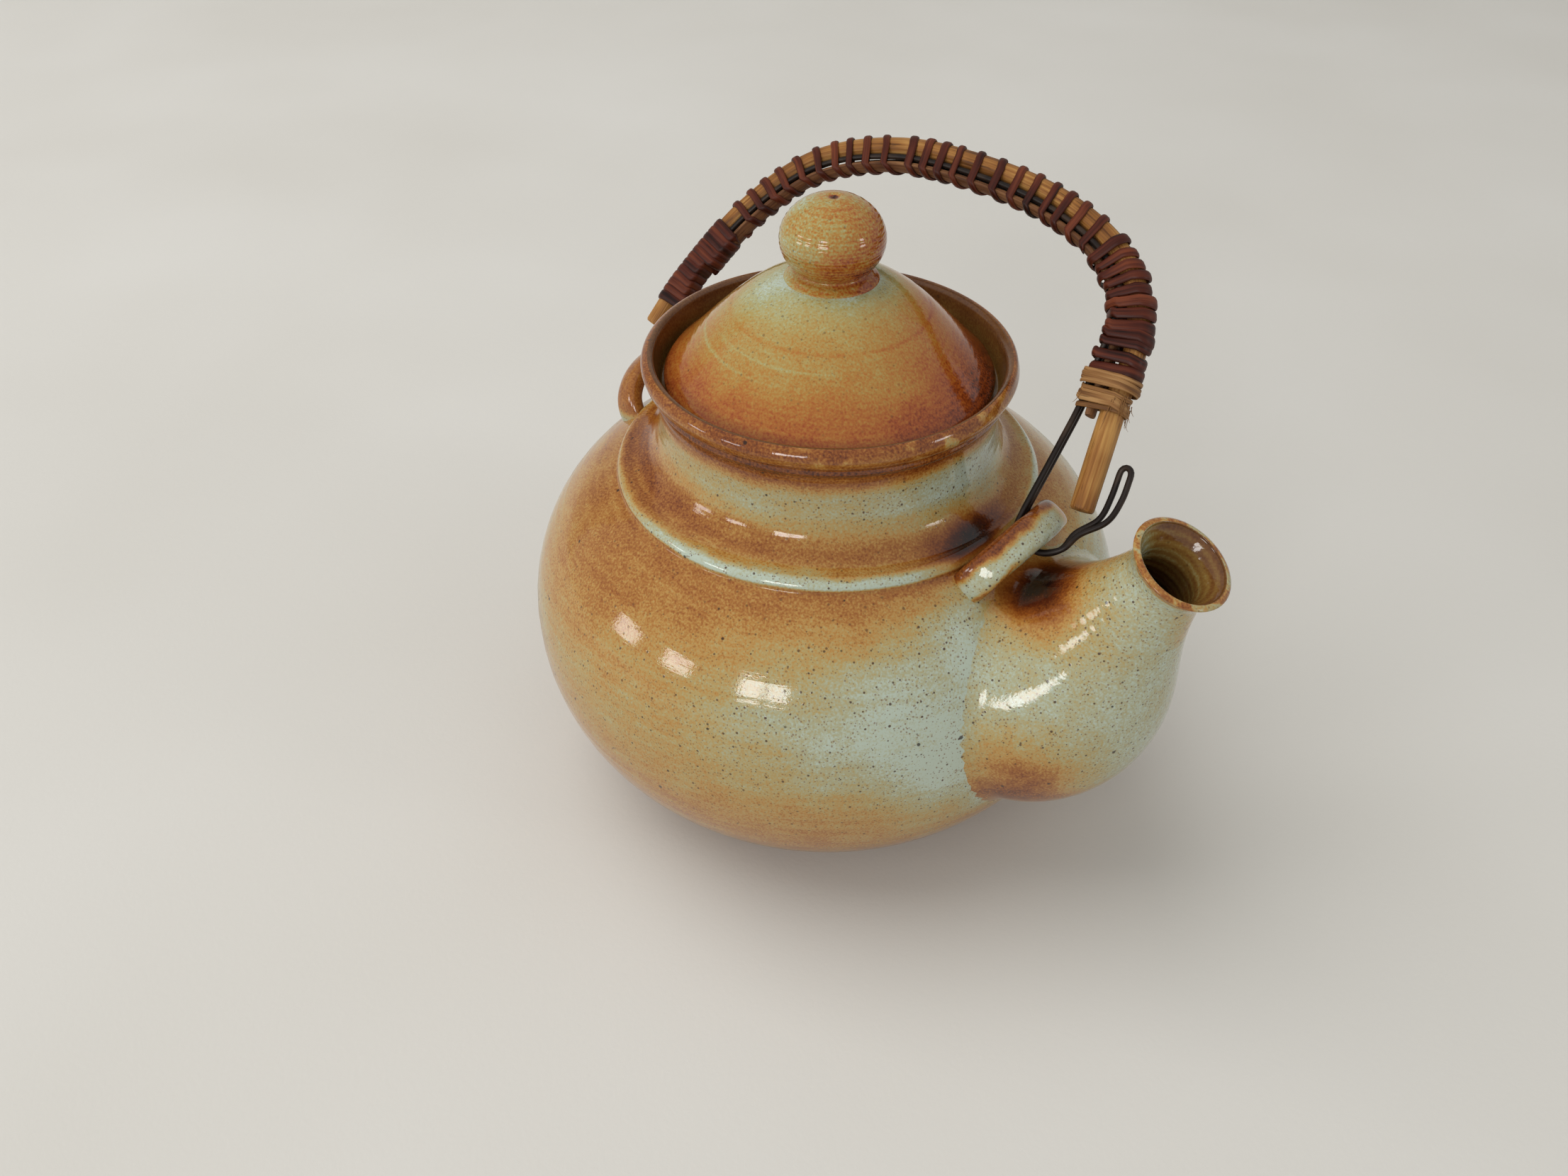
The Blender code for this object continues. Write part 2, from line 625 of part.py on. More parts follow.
def wrap_corner(ovals, angle, sides, grow):
    """Corner at this angle of the polygon whose sides all stand clear of the ovals by the given distance."""
    half = math.pi / sides
    first = support(ovals, angle - half) + grow
    second = support(ovals, angle + half) + grow
    along = (first + second) / (2.0 * math.cos(half))
    across = (second - first) / (2.0 * math.sin(half))
    return (
        along * math.cos(angle) - across * math.sin(angle),
        along * math.sin(angle) + across * math.cos(angle),
    )


def rod(name, arch, span, outward, half_side, half_out, steps, material, parent):
    """An oval rod along the arch; its sizes are functions of the distance."""
    rings = []
    for i in range(steps + 1):
        distance = span[0] + (span[1] - span[0]) * i / steps
        ring = []
        for k in range(CANE_SIDES):
            turn = 2 * math.pi * k / CANE_SIDES
            ring.append(
                arch.place(
                    distance, outward + half_out(distance) * math.sin(turn), half_side(distance) * math.cos(turn)
                )
            )
        rings.append(ring)
    return add_object(name, lofted(rings), material, parent)


def sleeve(name, arch, start, length, steps, material, parent):
    """A close winding taken as one tube round the stack."""
    inside, outside = [], []
    for i in range(steps + 1):
        distance = start + length * i / steps
        ovals = stack_ovals(arch, distance)
        rings = []
        for grow in (WRAP_CLEARANCE, WRAP_CLEARANCE + STRIP_THICKNESS):
            ring = []
            for k in range(WRAP_SIDES):
                side, outward = wrap_corner(ovals, 2 * math.pi * k / WRAP_SIDES, WRAP_SIDES, grow)
                ring.append(arch.place(distance, outward, side))
            rings.append(ring)
        inside.append(rings[0])
        outside.append(rings[1])
    return add_object(name, lofted(outside + list(reversed(inside)), closed=True), material, parent)


def spaced_winding(arch, start, end, material, parent):
    """One flat strip wound round the canes in an open helix."""
    per_turn = 10
    steps = SPACED_TURNS * per_turn
    rings = []
    for i in range(steps + 1):
        distance = start + (end - start) * i / steps
        angle = -math.pi / 2 + 2 * math.pi * i / per_turn
        ring = []
        for along, grow in ((-0.5, 0.0), (0.5, 0.0), (0.5, 1.0), (-0.5, 1.0)):
            here = distance + along * STRIP_WIDTH
            side, outward = wrap_corner(
                stack_ovals(arch, distance), angle, per_turn, WRAP_CLEARANCE + grow * STRIP_THICKNESS
            )
            ring.append(arch.place(here, outward, side))
        rings.append(ring)
    return add_object("handle_winding", lofted(rings), material, parent)


def front_hook():
    """Route of the doubled wire in front, from the binding down through the eye and up to its closed end."""
    turn_x = LUG_X + LUG_REACH + 3.6 * MM
    clear_x = CANE_END_X + CANE_END_RADIUS + WRAP_CLEARANCE + WIRE_RADIUS
    return [
        Vector((INNER_LEG_X + LEG_SPACE, 0.0, 36.0 * MM)),
        Vector((INNER_LEG_X + 0.5 * LEG_SPACE, 0.0, 21.0 * MM)),
        Vector((INNER_LEG_X, 0.0, 7.0 * MM)),
        Vector((INNER_LEG_X + 0.9 * MM, 0.0, 2.0 * MM)),
        Vector((LUG_X - 1.5 * MM, 0.0, 0.0)),
        Vector((LUG_X + 3.5 * MM, 0.0, 0.0)),
        Vector((turn_x, 0.0, 3.2 * MM)),
        Vector((turn_x + 1.6 * MM, 0.6 * MM, 8.5 * MM)),
        Vector((clear_x + 1.3 * MM, 1.6 * MM, 14.5 * MM)),
        Vector((clear_x + 1.7 * MM, 2.2 * MM, 21.0 * MM)),
        Vector((clear_x + 1.0 * MM, 1.6 * MM, 28.0 * MM)),
    ]


def rear_hook():
    """Route of the doubled wire at the rear: its closed end lies against the back of the cane's end."""
    turn_x = LUG_X + LUG_REACH + 3.6 * MM
    behind = CANE_END_RADIUS + WRAP_CLEARANCE + WIRE_RADIUS
    return [
        Vector((-LUG_X + 0.2 * MM, 0.0, 17.3 * MM)),
        Vector((-INNER_LEG_X - 1.1 * MM, 0.0, 14.6 * MM)),
        Vector((-INNER_LEG_X, 0.0, 9.5 * MM)),
        Vector((-INNER_LEG_X, 0.0, 5.0 * MM)),
        Vector((-INNER_LEG_X - 0.9 * MM, 0.0, 1.6 * MM)),
        Vector((-LUG_X + 1.5 * MM, 0.0, 0.0)),
        Vector((-LUG_X - 3.5 * MM, 0.0, 0.0)),
        Vector((-turn_x, 0.8 * MM, 3.2 * MM)),
        Vector((-turn_x - 0.6 * MM, behind - 0.3 * MM, 9.5 * MM)),
        Vector((-CANE_END_X - 1.2 * MM, behind + 0.4 * MM, 16.0 * MM)),
    ]


def strand_offset(share):
    """Half the step between the strands: along the hinge axis's normal at first, along X at the open end."""
    turn = smoothstep((share - 0.45) / 0.4) * math.radians(75.0)
    half = STRAND_HALF_GAP + 0.75 * MM * smoothstep((share - 0.7) / 0.25)
    return Vector((half * math.sin(turn), -half * math.cos(turn), 0.0))


def hook_strands(route, outer_sign):
    """The two strands of one hook, each from the canes to the closed end."""
    centre = catmull_rom(route, 3)
    strands = ([], [])
    for i, point in enumerate(centre):
        step = strand_offset(i / (len(centre) - 1))
        step.x *= outer_sign
        strands[0].append(point + step)
        strands[1].append(point - step)
    return strands


def tube(path, radius, sides):
    """Rings square to a closed path, kept from twisting by carrying the frame along."""
    count = len(path)
    rings = []
    normal = Vector((0.0, 0.0, 1.0))
    for i, point in enumerate(path):
        along = (path[(i + 1) % count] - path[i - 1]).normalized()
        normal = (normal - along * normal.dot(along)).normalized()
        across = along.cross(normal)
        angles = [2 * math.pi * k / sides for k in range(sides)]
        rings.append([point + radius * (math.cos(a) * normal + math.sin(a) * across) for a in angles])
    return rings


def build_wire(arch, material, parent):
    """One wire bent double: two strands along the canes and a closed hook in each lug."""
    start = REAR_WRAP_START - 1.2 * MM
    end = arch.length - BINDING_FROM_END - 1.0 * MM
    bend = end - 42.0 * MM
    places = [start + (bend - start) * i / 20 for i in range(20)]
    places += [bend + (end - bend) * i / 12 for i in range(13)]
    front = hook_strands(front_hook(), 1.0)
    rear = hook_strands(rear_hook(), -1.0)
    along = ([], [])
    for distance in places:
        outward, side = wire_place(arch, distance)
        along[0].append(arch.place(distance, outward, -side))
        along[1].append(arch.place(distance, outward, side))
    path = list(reversed(rear[0])) + along[0] + front[0]
    path += closed_end(front[0], front[1])
    path += list(reversed(front[1])) + list(reversed(along[1])) + rear[1]
    path += closed_end(rear[1], rear[0])
    rings = tube(path, WIRE_RADIUS, WIRE_SIDES)
    return add_object("handle_wire", joined_tube(rings), material, parent)


def closed_end(first, second):
    """The half turn that joins two strands at a hook's closed end."""
    ahead = (first[-1] - first[-2]).normalized()
    middle = (first[-1] + second[-1]) / 2.0
    out = (first[-1] - second[-1]) / 2.0
    reach = out.length
    angles = [math.pi * i / 6 for i in range(1, 6)]
    return [middle + out * math.cos(a) + ahead * reach * math.sin(a) for a in angles]


def joined_tube(rings):
    """A closed tube whose last ring is matched to the first one's nearest start point."""
    first, last = rings[0], rings[-1]
    shift = min(range(len(first)), key=lambda k: (last[0] - first[k]).length)
    shape = bmesh.new()
    rows = [[shape.verts.new(point) for point in ring] for ring in rings]
    rows.append(rows[0][shift:] + rows[0][:shift])
    for row, following in zip(rows, rows[1:]):
        for i in range(len(row)):
            j = (i + 1) % len(row)
            shape.faces.new((row[i], row[j], following[j], following[i]))
    return shape


def build_handle(finishes):
    """Everything that swings, under an empty on the hinge axis."""
    hinge = bpy.data.objects.new("handle_hinge", None)
    bpy.context.scene.collection.objects.link(hinge)
    hinge.location = (0.0, 0.0, PIVOT_Z)
    hinge.rotation_euler = (-HANDLE_LEAN, 0.0, 0.0)
    arch = Arch()
    binding_start = arch.length - BINDING_FROM_END - BINDING_LENGTH
    front_wrap_start = binding_start - WRAP_CLEARANCE - FRONT_WRAP_LENGTH
    rear_wrap_end = REAR_WRAP_START + REAR_WRAP_LENGTH
    rod(
        "outer_cane", arch, (0.0, arch.length), 0.0,
        lambda d: cane_radius(arch, d), lambda d: cane_radius(arch, d), 40, finishes["cane"], hinge,
    )
    rod(
        "inner_cane", arch, inner_cane_span(arch), INNER_CANE_OFFSET,
        lambda d: INNER_CANE_HALF_WIDTH, lambda d: INNER_CANE_HALF_THICKNESS, 32, finishes["inner_cane"], hinge,
    )
    build_wire(arch, finishes["wire"], hinge)
    sleeve("rear_wrap", arch, REAR_WRAP_START, REAR_WRAP_LENGTH, 7, finishes["rattan"], hinge)
    sleeve("front_wrap", arch, front_wrap_start, FRONT_WRAP_LENGTH, 10, finishes["rattan"], hinge)
    sleeve("end_binding", arch, binding_start, BINDING_LENGTH, 3, finishes["binding"], hinge)
    margin = STRIP_WIDTH / 2.0 + WRAP_CLEARANCE
    spaced_winding(arch, rear_wrap_end + margin, front_wrap_start - margin, finishes["rattan"], hinge)


def main():
    clear_scene()
    finishes = {
        "glaze": finish("stoneware_glaze", (0.55, 0.38, 0.20), 0.22),
        "spout": finish("spout_glaze", (0.52, 0.47, 0.36), 0.22),
        "lug": finish("lug_glaze", (0.50, 0.36, 0.24), 0.25),
        "lid": finish("lid_glaze", (0.56, 0.34, 0.17), 0.24),
        "knob": finish("knob_glaze", (0.50, 0.33, 0.14), 0.20),
        "cane": finish("golden_cane", (0.45, 0.26, 0.10), 0.55),
        "inner_cane": finish("split_cane", (0.35, 0.20, 0.09), 0.6),
        "wire": finish("blackened_wire", (0.05, 0.04, 0.03), 0.4, 0.9),
        "rattan": finish("dark_rattan", (0.14, 0.05, 0.03), 0.45),
        "binding": finish("natural_rattan", (0.38, 0.25, 0.13), 0.6),
    }
    cutter = body_cutter()
    build_pot(finishes["glaze"])
    build_spout(finishes["spout"], cutter)
    build_lug("front_lug", 1.0, finishes["lug"], (cutter, spout_cutter()))
    build_lug("rear_lug", -1.0, finishes["lug"], (cutter,))
    build_lid(finishes["lid"])
    build_knob(finishes["knob"])
    build_handle(finishes)


if __name__ == "__main__":
    main()
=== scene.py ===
"""Looks of a thrown stoneware teapot with a cane bail handle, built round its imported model.

Every piece is a surface worked out with numpy in the model's own frame: the pot's axis is Z, the spout
points along +X and the bail turns about an X axis through the lugs. Lengths are in metres unless a name
ends in _mm.
"""

from __future__ import annotations

import json
import logging
import math
from dataclasses import dataclass, field
from enum import Enum

import bpy
import numpy as np
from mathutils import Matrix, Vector


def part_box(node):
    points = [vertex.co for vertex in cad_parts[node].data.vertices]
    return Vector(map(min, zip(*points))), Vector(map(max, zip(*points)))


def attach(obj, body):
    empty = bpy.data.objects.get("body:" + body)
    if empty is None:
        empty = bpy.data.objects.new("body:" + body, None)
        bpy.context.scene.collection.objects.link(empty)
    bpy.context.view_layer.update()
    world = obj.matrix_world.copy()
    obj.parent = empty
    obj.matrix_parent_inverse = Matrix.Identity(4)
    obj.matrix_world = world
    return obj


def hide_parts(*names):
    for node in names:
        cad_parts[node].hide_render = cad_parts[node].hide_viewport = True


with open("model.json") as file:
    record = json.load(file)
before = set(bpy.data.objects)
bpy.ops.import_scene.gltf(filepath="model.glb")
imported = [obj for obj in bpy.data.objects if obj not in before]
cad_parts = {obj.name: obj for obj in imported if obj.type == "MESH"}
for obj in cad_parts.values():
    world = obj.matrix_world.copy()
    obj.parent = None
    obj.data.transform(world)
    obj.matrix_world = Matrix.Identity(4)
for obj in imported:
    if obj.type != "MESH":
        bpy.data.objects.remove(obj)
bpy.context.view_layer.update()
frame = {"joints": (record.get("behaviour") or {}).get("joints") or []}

LOG = logging.getLogger("teapot")
MM = 0.001
Array = np.ndarray


# ------------------------------------------------------------------------------------------ arithmetic


def smooth(value: Array | float, low: float, high: float) -> Array:
    """Cubic step: 0 below low, 1 above high, 3t^2 - 2t^3 between them."""
    t = np.clip((np.asarray(value, float) - low) / (high - low), 0.0, 1.0)
    return t * t * (3.0 - 2.0 * t)


def bezier(controls: list[tuple[float, ...]], t: Array) -> Array:
    """Cubic Bezier curve: the sum of its four controls weighted by the cubic Bernstein polynomials of t.

    Args:
        controls: the four control points.
        t: places on the curve, 0 to 1.

    Returns:
        The points at t.
    """
    p = np.asarray(controls, float)
    weights = np.stack([(1 - t) ** 3, 3 * (1 - t) ** 2 * t, 3 * (1 - t) * t**2, t**3], axis=-1)
    return weights @ p


def smooth_line(points: list[tuple[float, ...]], steps: int) -> Array:
    """Catmull-Rom curve through the points: on each span a cubic whose end slopes are half its neighbours' chord.

    Args:
        points: the points that the curve passes.
        steps: samples on each span.

    Returns:
        The samples, with both ends.
    """
    p = np.asarray(points, float)
    p = np.vstack([2 * p[0] - p[1], p, 2 * p[-1] - p[-2]])
    a, b, c, d = (p[i : len(p) - 3 + i, None, :] for i in range(4))
    t = (np.arange(steps) / steps)[None, :, None]
    curve = 0.5 * (2 * b + (c - a) * t + (2 * a - 5 * b + 4 * c - d) * t**2 + (3 * b - a - 3 * c + d) * t**3)
    return np.vstack([curve.reshape(-1, p.shape[1]), p[-2]])


def run_length(line: Array) -> Array:
    """Distance from the line's start to each of its points, along its chords."""
    return np.concatenate([[0.0], np.cumsum(np.linalg.norm(np.diff(line, axis=0), axis=1))])


def wander(seed: int, along: Array, spacing: float) -> Array:
    """Seeded value noise along a line: random numbers in -1..1 at even spacing, joined by cosine steps.

    Args:
        seed: the noise's own seed.
        along: places on the line.
        spacing: distance between the random numbers.

    Returns:
        The noise at each place.
    """
    places = np.asarray(along, float) / spacing
    low = np.floor(places.min()) - 1
    values = np.random.default_rng(seed).uniform(-1.0, 1.0, int(places.max() - low) + 3)
    index = np.floor(places - low).astype(int)
    share = 0.5 - 0.5 * np.cos(np.pi * (places - low - index))
    return values[index] * (1 - share) + values[index + 1] * share


def unit(vectors: Array) -> Array:
    """The vectors at length one."""
    return vectors / np.linalg.norm(vectors, axis=-1, keepdims=True)


# ------------------------------------------------------------------------------------------ meshes


class Ends(Enum):
    """How a skin's first and last rings are finished."""

    FAN = "closed with a fan of triangles about each end ring's middle"
    LOOP = "joined to each other"


def skin(
    name: str, rings: Array, ends: Ends, attributes: dict[str, Array] | None = None, inner_from: int | None = None
) -> bpy.types.Object:
    """Makes an object from a grid of points whose columns close on themselves.

    Args:
        name: the object's name.
        rings: points, shaped (rings, points per ring, 3).
        ends: how the first and last rings are finished.
        attributes: vectors per point, in the grid's shape, stored as point attributes.
        inner_from: the first ring whose faces take the second material slot.

    Returns:
        The object, its faces turned outwards.
    """
    rows, sides = rings.shape[:2]
    closed = ends is Ends.LOOP
    points = rings.reshape(-1, 3)
    i = np.arange(rows if closed else rows - 1)[:, None]
    j = np.arange(sides)[None, :]
    here, after = i * sides, ((i + 1) % rows) * sides
    right = (j + 1) % sides
    quads = np.stack([here + j, here + right, after + right, after + j], axis=-1).reshape(-1, 4)
    slots = np.repeat((i[:, 0] >= (rows if inner_from is None else inner_from)).astype(np.int32), sides)
    fans = np.zeros((0, 3), int)
    if not closed:
        points = np.vstack([points, rings[0].mean(0), rings[-1].mean(0)])
        turn = np.arange(sides)
        first, last = len(points) - 2, len(points) - 1
        begin = np.stack([np.full(sides, first), (turn + 1) % sides, turn], axis=-1)
        base = (rows - 1) * sides
        finish_fan = np.stack([np.full(sides, last), base + turn, base + (turn + 1) % sides], axis=-1)
        fans = np.vstack([begin, finish_fan])
        slots = np.concatenate([slots, np.full(sides, slots[0]), np.full(sides, slots[-1])])
    triangles = np.vstack([quads[:, [0, 1, 2]], quads[:, [0, 2, 3]], fans])
    corners = points[triangles]
    if np.einsum("ij,ij->i", corners[:, 0], np.cross(corners[:, 1], corners[:, 2])).sum() < 0:
        quads, fans = quads[:, ::-1], fans[:, ::-1]
    mesh = bpy.data.meshes.new(name)
    mesh.from_pydata(points.tolist(), [], quads.tolist() + fans.tolist())
    mesh.polygons.foreach_set("material_index", slots.astype(np.int32))
    for label, values in (attributes or {}).items():
        flat = values.reshape(-1, 3)
        if not closed:
            flat = np.vstack([flat, values[0].mean(0), values[-1].mean(0)])
        mesh.attributes.new(label, "FLOAT_VECTOR", "POINT").data.foreach_set("vector", flat.ravel())
    mesh.shade_smooth()
    made = bpy.data.objects.new(name, mesh)
    bpy.context.scene.collection.objects.link(made)
    return made


def place_piece(
    piece: bpy.types.Object, body: str, finishes: list[bpy.types.Material], nodes: tuple[str, ...] = ()
) -> None:
    """Dresses a piece, rides it on its body and hides the CAD nodes that it stands for.

    Args:
        piece: the piece.
        body: the body that it rides on.
        finishes: its materials, in slot order.
        nodes: the CAD nodes that it stands for.
    """
    for finish in finishes:
        piece.data.materials.append(finish)
    if nodes:
        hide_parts(*nodes)
    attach(piece, body)
    LOG.info("%s: %d faces on %s", piece.name, len(piece.data.polygons), body)


def respaced(profile: Array, fine: float, coarse: float, soften: float) -> Array:
    """Softens an outline's corners and spaces its points by how sharply it turns.

    The outline is sampled every 0.1 mm, each sample becomes the Gaussian mean of its neighbours, and the
    spacing is that of a chord standing a fixed height off its arc, kept between fine and coarse.

    Args:
        profile: outline points (radius, height) with both ends on the axis.
        fine: least spacing.
        coarse: greatest spacing.
        soften: standard deviation of the Gaussian mean.

    Returns:
        The new outline.
    """
    step = 0.1 * MM
    length = run_length(profile)
    even = np.arange(0.0, length[-1], step)
    line = np.stack([np.interp(even, length, profile[:, k]) for k in range(2)], axis=-1)
    reach = int(3 * soften / step)
    kernel = np.exp(-0.5 * (np.arange(-reach, reach + 1) * step / soften) ** 2)
    kernel /= kernel.sum()
    padded = np.vstack([2 * line[0] - line[reach:0:-1], line, 2 * line[-1] - line[-2 : -reach - 2 : -1]])
    line = np.stack([np.convolve(padded[:, k], kernel, "valid") for k in range(2)], axis=-1)
    slope = np.unwrap(np.arctan2(*np.gradient(line, axis=0).T[::-1]))
    bend = np.abs(np.gradient(slope)) / step
    bend = np.convolve(bend, np.ones(9) / 9, "same") + 1e-6
    spacing = np.clip(np.sqrt(8 * 0.012 * MM / bend), fine, coarse)
    count = np.concatenate([[0.0], np.cumsum(step / spacing[:-1])])
    places = np.interp(np.linspace(0.0, count[-1], int(count[-1]) + 2), count, np.arange(len(line)))
    chosen = np.stack([np.interp(places, np.arange(len(line)), line[:, k]) for k in range(2)], axis=-1)
    chosen[[0, -1], 0] = 1e-6
    return chosen


def turned(name: str, profile: Array, sides: int, ripple: Array, wobble: float, inner_from: int) -> bpy.types.Object:
    """Turns an outline about Z: radius (1 + wobble cos 2a) plus a ripple that climbs one pitch each turn.

    Args:
        name: the object's name.
        profile: outline points (radius, height), both ends on the axis.
        sides: points round the axis.
        ripple: for each point (offset, phase) of the throwing marks, offset cos(phase + a).
        wobble: how far out of round the piece is, as a share of its radius.
        inner_from: the first profile point that is on the inside.

    Returns:
        The object.
    """
    angle = np.linspace(0.0, 2 * np.pi, sides, endpoint=False)[None, :]
    radius = profile[:, :1] * (1.0 + wobble * np.cos(2 * angle + 0.6))
    slope = unit(np.gradient(profile, axis=0))
    marks = ripple[:, :1] * np.cos(ripple[:, 1:] + angle)
    radius = np.maximum(radius + marks * slope[:, 1:], 1e-6)
    height = profile[:, 1:] - marks * slope[:, :1]
    rings = np.stack([radius * np.cos(angle), radius * np.sin(angle), height + 0 * angle], axis=-1)
    return skin(name, rings, Ends.FAN, inner_from=inner_from)


def sweep(
    name: str, path: Array, half_side: Array, half_out: Array, sides: int, ends: Ends, across: Array
) -> bpy.types.Object:
    """Carries an oval along a path: point + half_side cos(a) s + half_out sin(a) n, with s square to the path.

    Args:
        name: the object's name.
        path: points of the path.
        half_side: half axis along the side direction at each point.
        half_out: half axis along the other direction at each point.
        sides: points on each ring.
        ends: how the ends are finished.
        across: the direction that the side axis keeps nearest to.

    Returns:
        The object, with the point attribute "straight": the place on the unrolled rod.
    """
    if ends is Ends.LOOP:
        along = unit(np.roll(path, -1, axis=0) - np.roll(path, 1, axis=0))
    else:
        along = unit(np.gradient(path, axis=0))
    side = unit(across - along * (along @ across)[:, None])
    out = np.cross(along, side)
    angle = np.linspace(0.0, 2 * np.pi, sides, endpoint=False)
    a = np.multiply.outer(half_side, np.cos(angle))
    b = np.multiply.outer(half_out, np.sin(angle))
    rings = path[:, None, :] + a[..., None] * side[:, None, :] + b[..., None] * out[:, None, :]
    reach = np.broadcast_to(run_length(path)[:, None], a.shape)
    return skin(name, rings, ends, {"straight": np.stack([a, b, reach], axis=-1)})


# ------------------------------------------------------------------------------------------ shader maths


def tint(red: float, green: float, blue: float) -> tuple[float, float, float, float]:
    """A display colour, 0 to 255, as the linear colour that a shader takes."""
    linear = [c / 12.92 if c <= 0.04045 else ((c + 0.055) / 1.055) ** 2.4 for c in (red / 255, green / 255, blue / 255)]
    return (*linear, 1.0)


class Value:
    """A number that changes over a surface. Its operators add Math nodes to the sheet it is on."""

    def __init__(self, sheet: NodeSheet, socket: bpy.types.NodeSocket) -> None:
        """Wraps a socket of the sheet."""
        self.sheet = sheet
        self.socket = socket

    def _math(self, operation: str, *terms: Value | float, clamp: bool = False) -> Value:
        """Adds one Math node over these terms.

        Args:
            operation: the node's operation.
            terms: its inputs in order.
            clamp: whether the result is kept between 0 and 1.

        Returns:
            The result.
        """
        node = self.sheet.add(
            "ShaderNodeMath", {"operation": operation, "use_clamp": clamp}, dict(enumerate(terms))
        )
        return Value(self.sheet, node.outputs[0])

    def __add__(self, other: Value | float) -> Value:
        """Sum."""
        return self._math("ADD", self, other)

    def __sub__(self, other: Value | float) -> Value:
        """Difference."""
        return self._math("SUBTRACT", self, other)

    def __rsub__(self, other: float) -> Value:
        """Difference from a number."""
        return self._math("SUBTRACT", other, self)

    def __mul__(self, other: Value | float) -> Value:
        """Product."""
        return self._math("MULTIPLY", self, other)

    def __truediv__(self, other: Value | float) -> Value:
        """Quotient."""
        return self._math("DIVIDE", self, other)

    __radd__ = __add__
    __rmul__ = __mul__

    def root(self) -> Value:
        """Square root."""
        return self._math("SQRT", self)

    def sine(self) -> Value:
        """Sine of the number in radians."""
        return self._math("SINE", self)

    def clamped(self) -> Value:
        """The number kept between 0 and 1."""
        return self._math("ADD", self, 0.0, clamp=True)

    def rise(self, low: float, high: float) -> Value:
        """Smooth step from 0 at low to 1 at high; low may be the greater.

        Args:
            low: where it is 0.
            high: where it is 1.

        Returns:
            The step.
        """
        node = self.sheet.add(
            "ShaderNodeMapRange", {"interpolation_type": "SMOOTHSTEP"}, {0: self, 1: low, 2: high, 3: 0.0, 4: 1.0}
        )
        return Value(self.sheet, node.outputs[0])

    def bell(self, centre: float, width: float) -> Value:
        """Bell curve: exp(-((v - centre) / width)^2)."""
        off = (self - centre) * (1.0 / width)
        return self._math("EXPONENT", off * off * -1.0)

    def band(self, low: float, high: float, soft: float) -> Value:
        """1 between low and high, fading to 0 over the soft width at each."""
        return self.rise(low - soft, low + soft) * self.rise(high + soft, high - soft)

    def curve(self, *stops: tuple[float, float]) -> Value:
        """Straight lines through (place, value) stops; places share the first and last stop's range.

        Args:
            stops: the (place, value) pairs.

        Returns:
            The value on the line.
        """
        low, high = stops[0][0], stops[-1][0]
        shown = [((place - low) / (high - low), (value, value, value, 1.0)) for place, value in stops]
        share = (self - low) * (1.0 / (high - low))
        node = self.sheet.add("ShaderNodeValToRGB", {"stops": shown}, {0: share})
        split = self.sheet.add("ShaderNodeSeparateColor", {}, {0: node.outputs[0]})
        return Value(self.sheet, split.outputs[0])


Socket = Value | bpy.types.NodeSocket


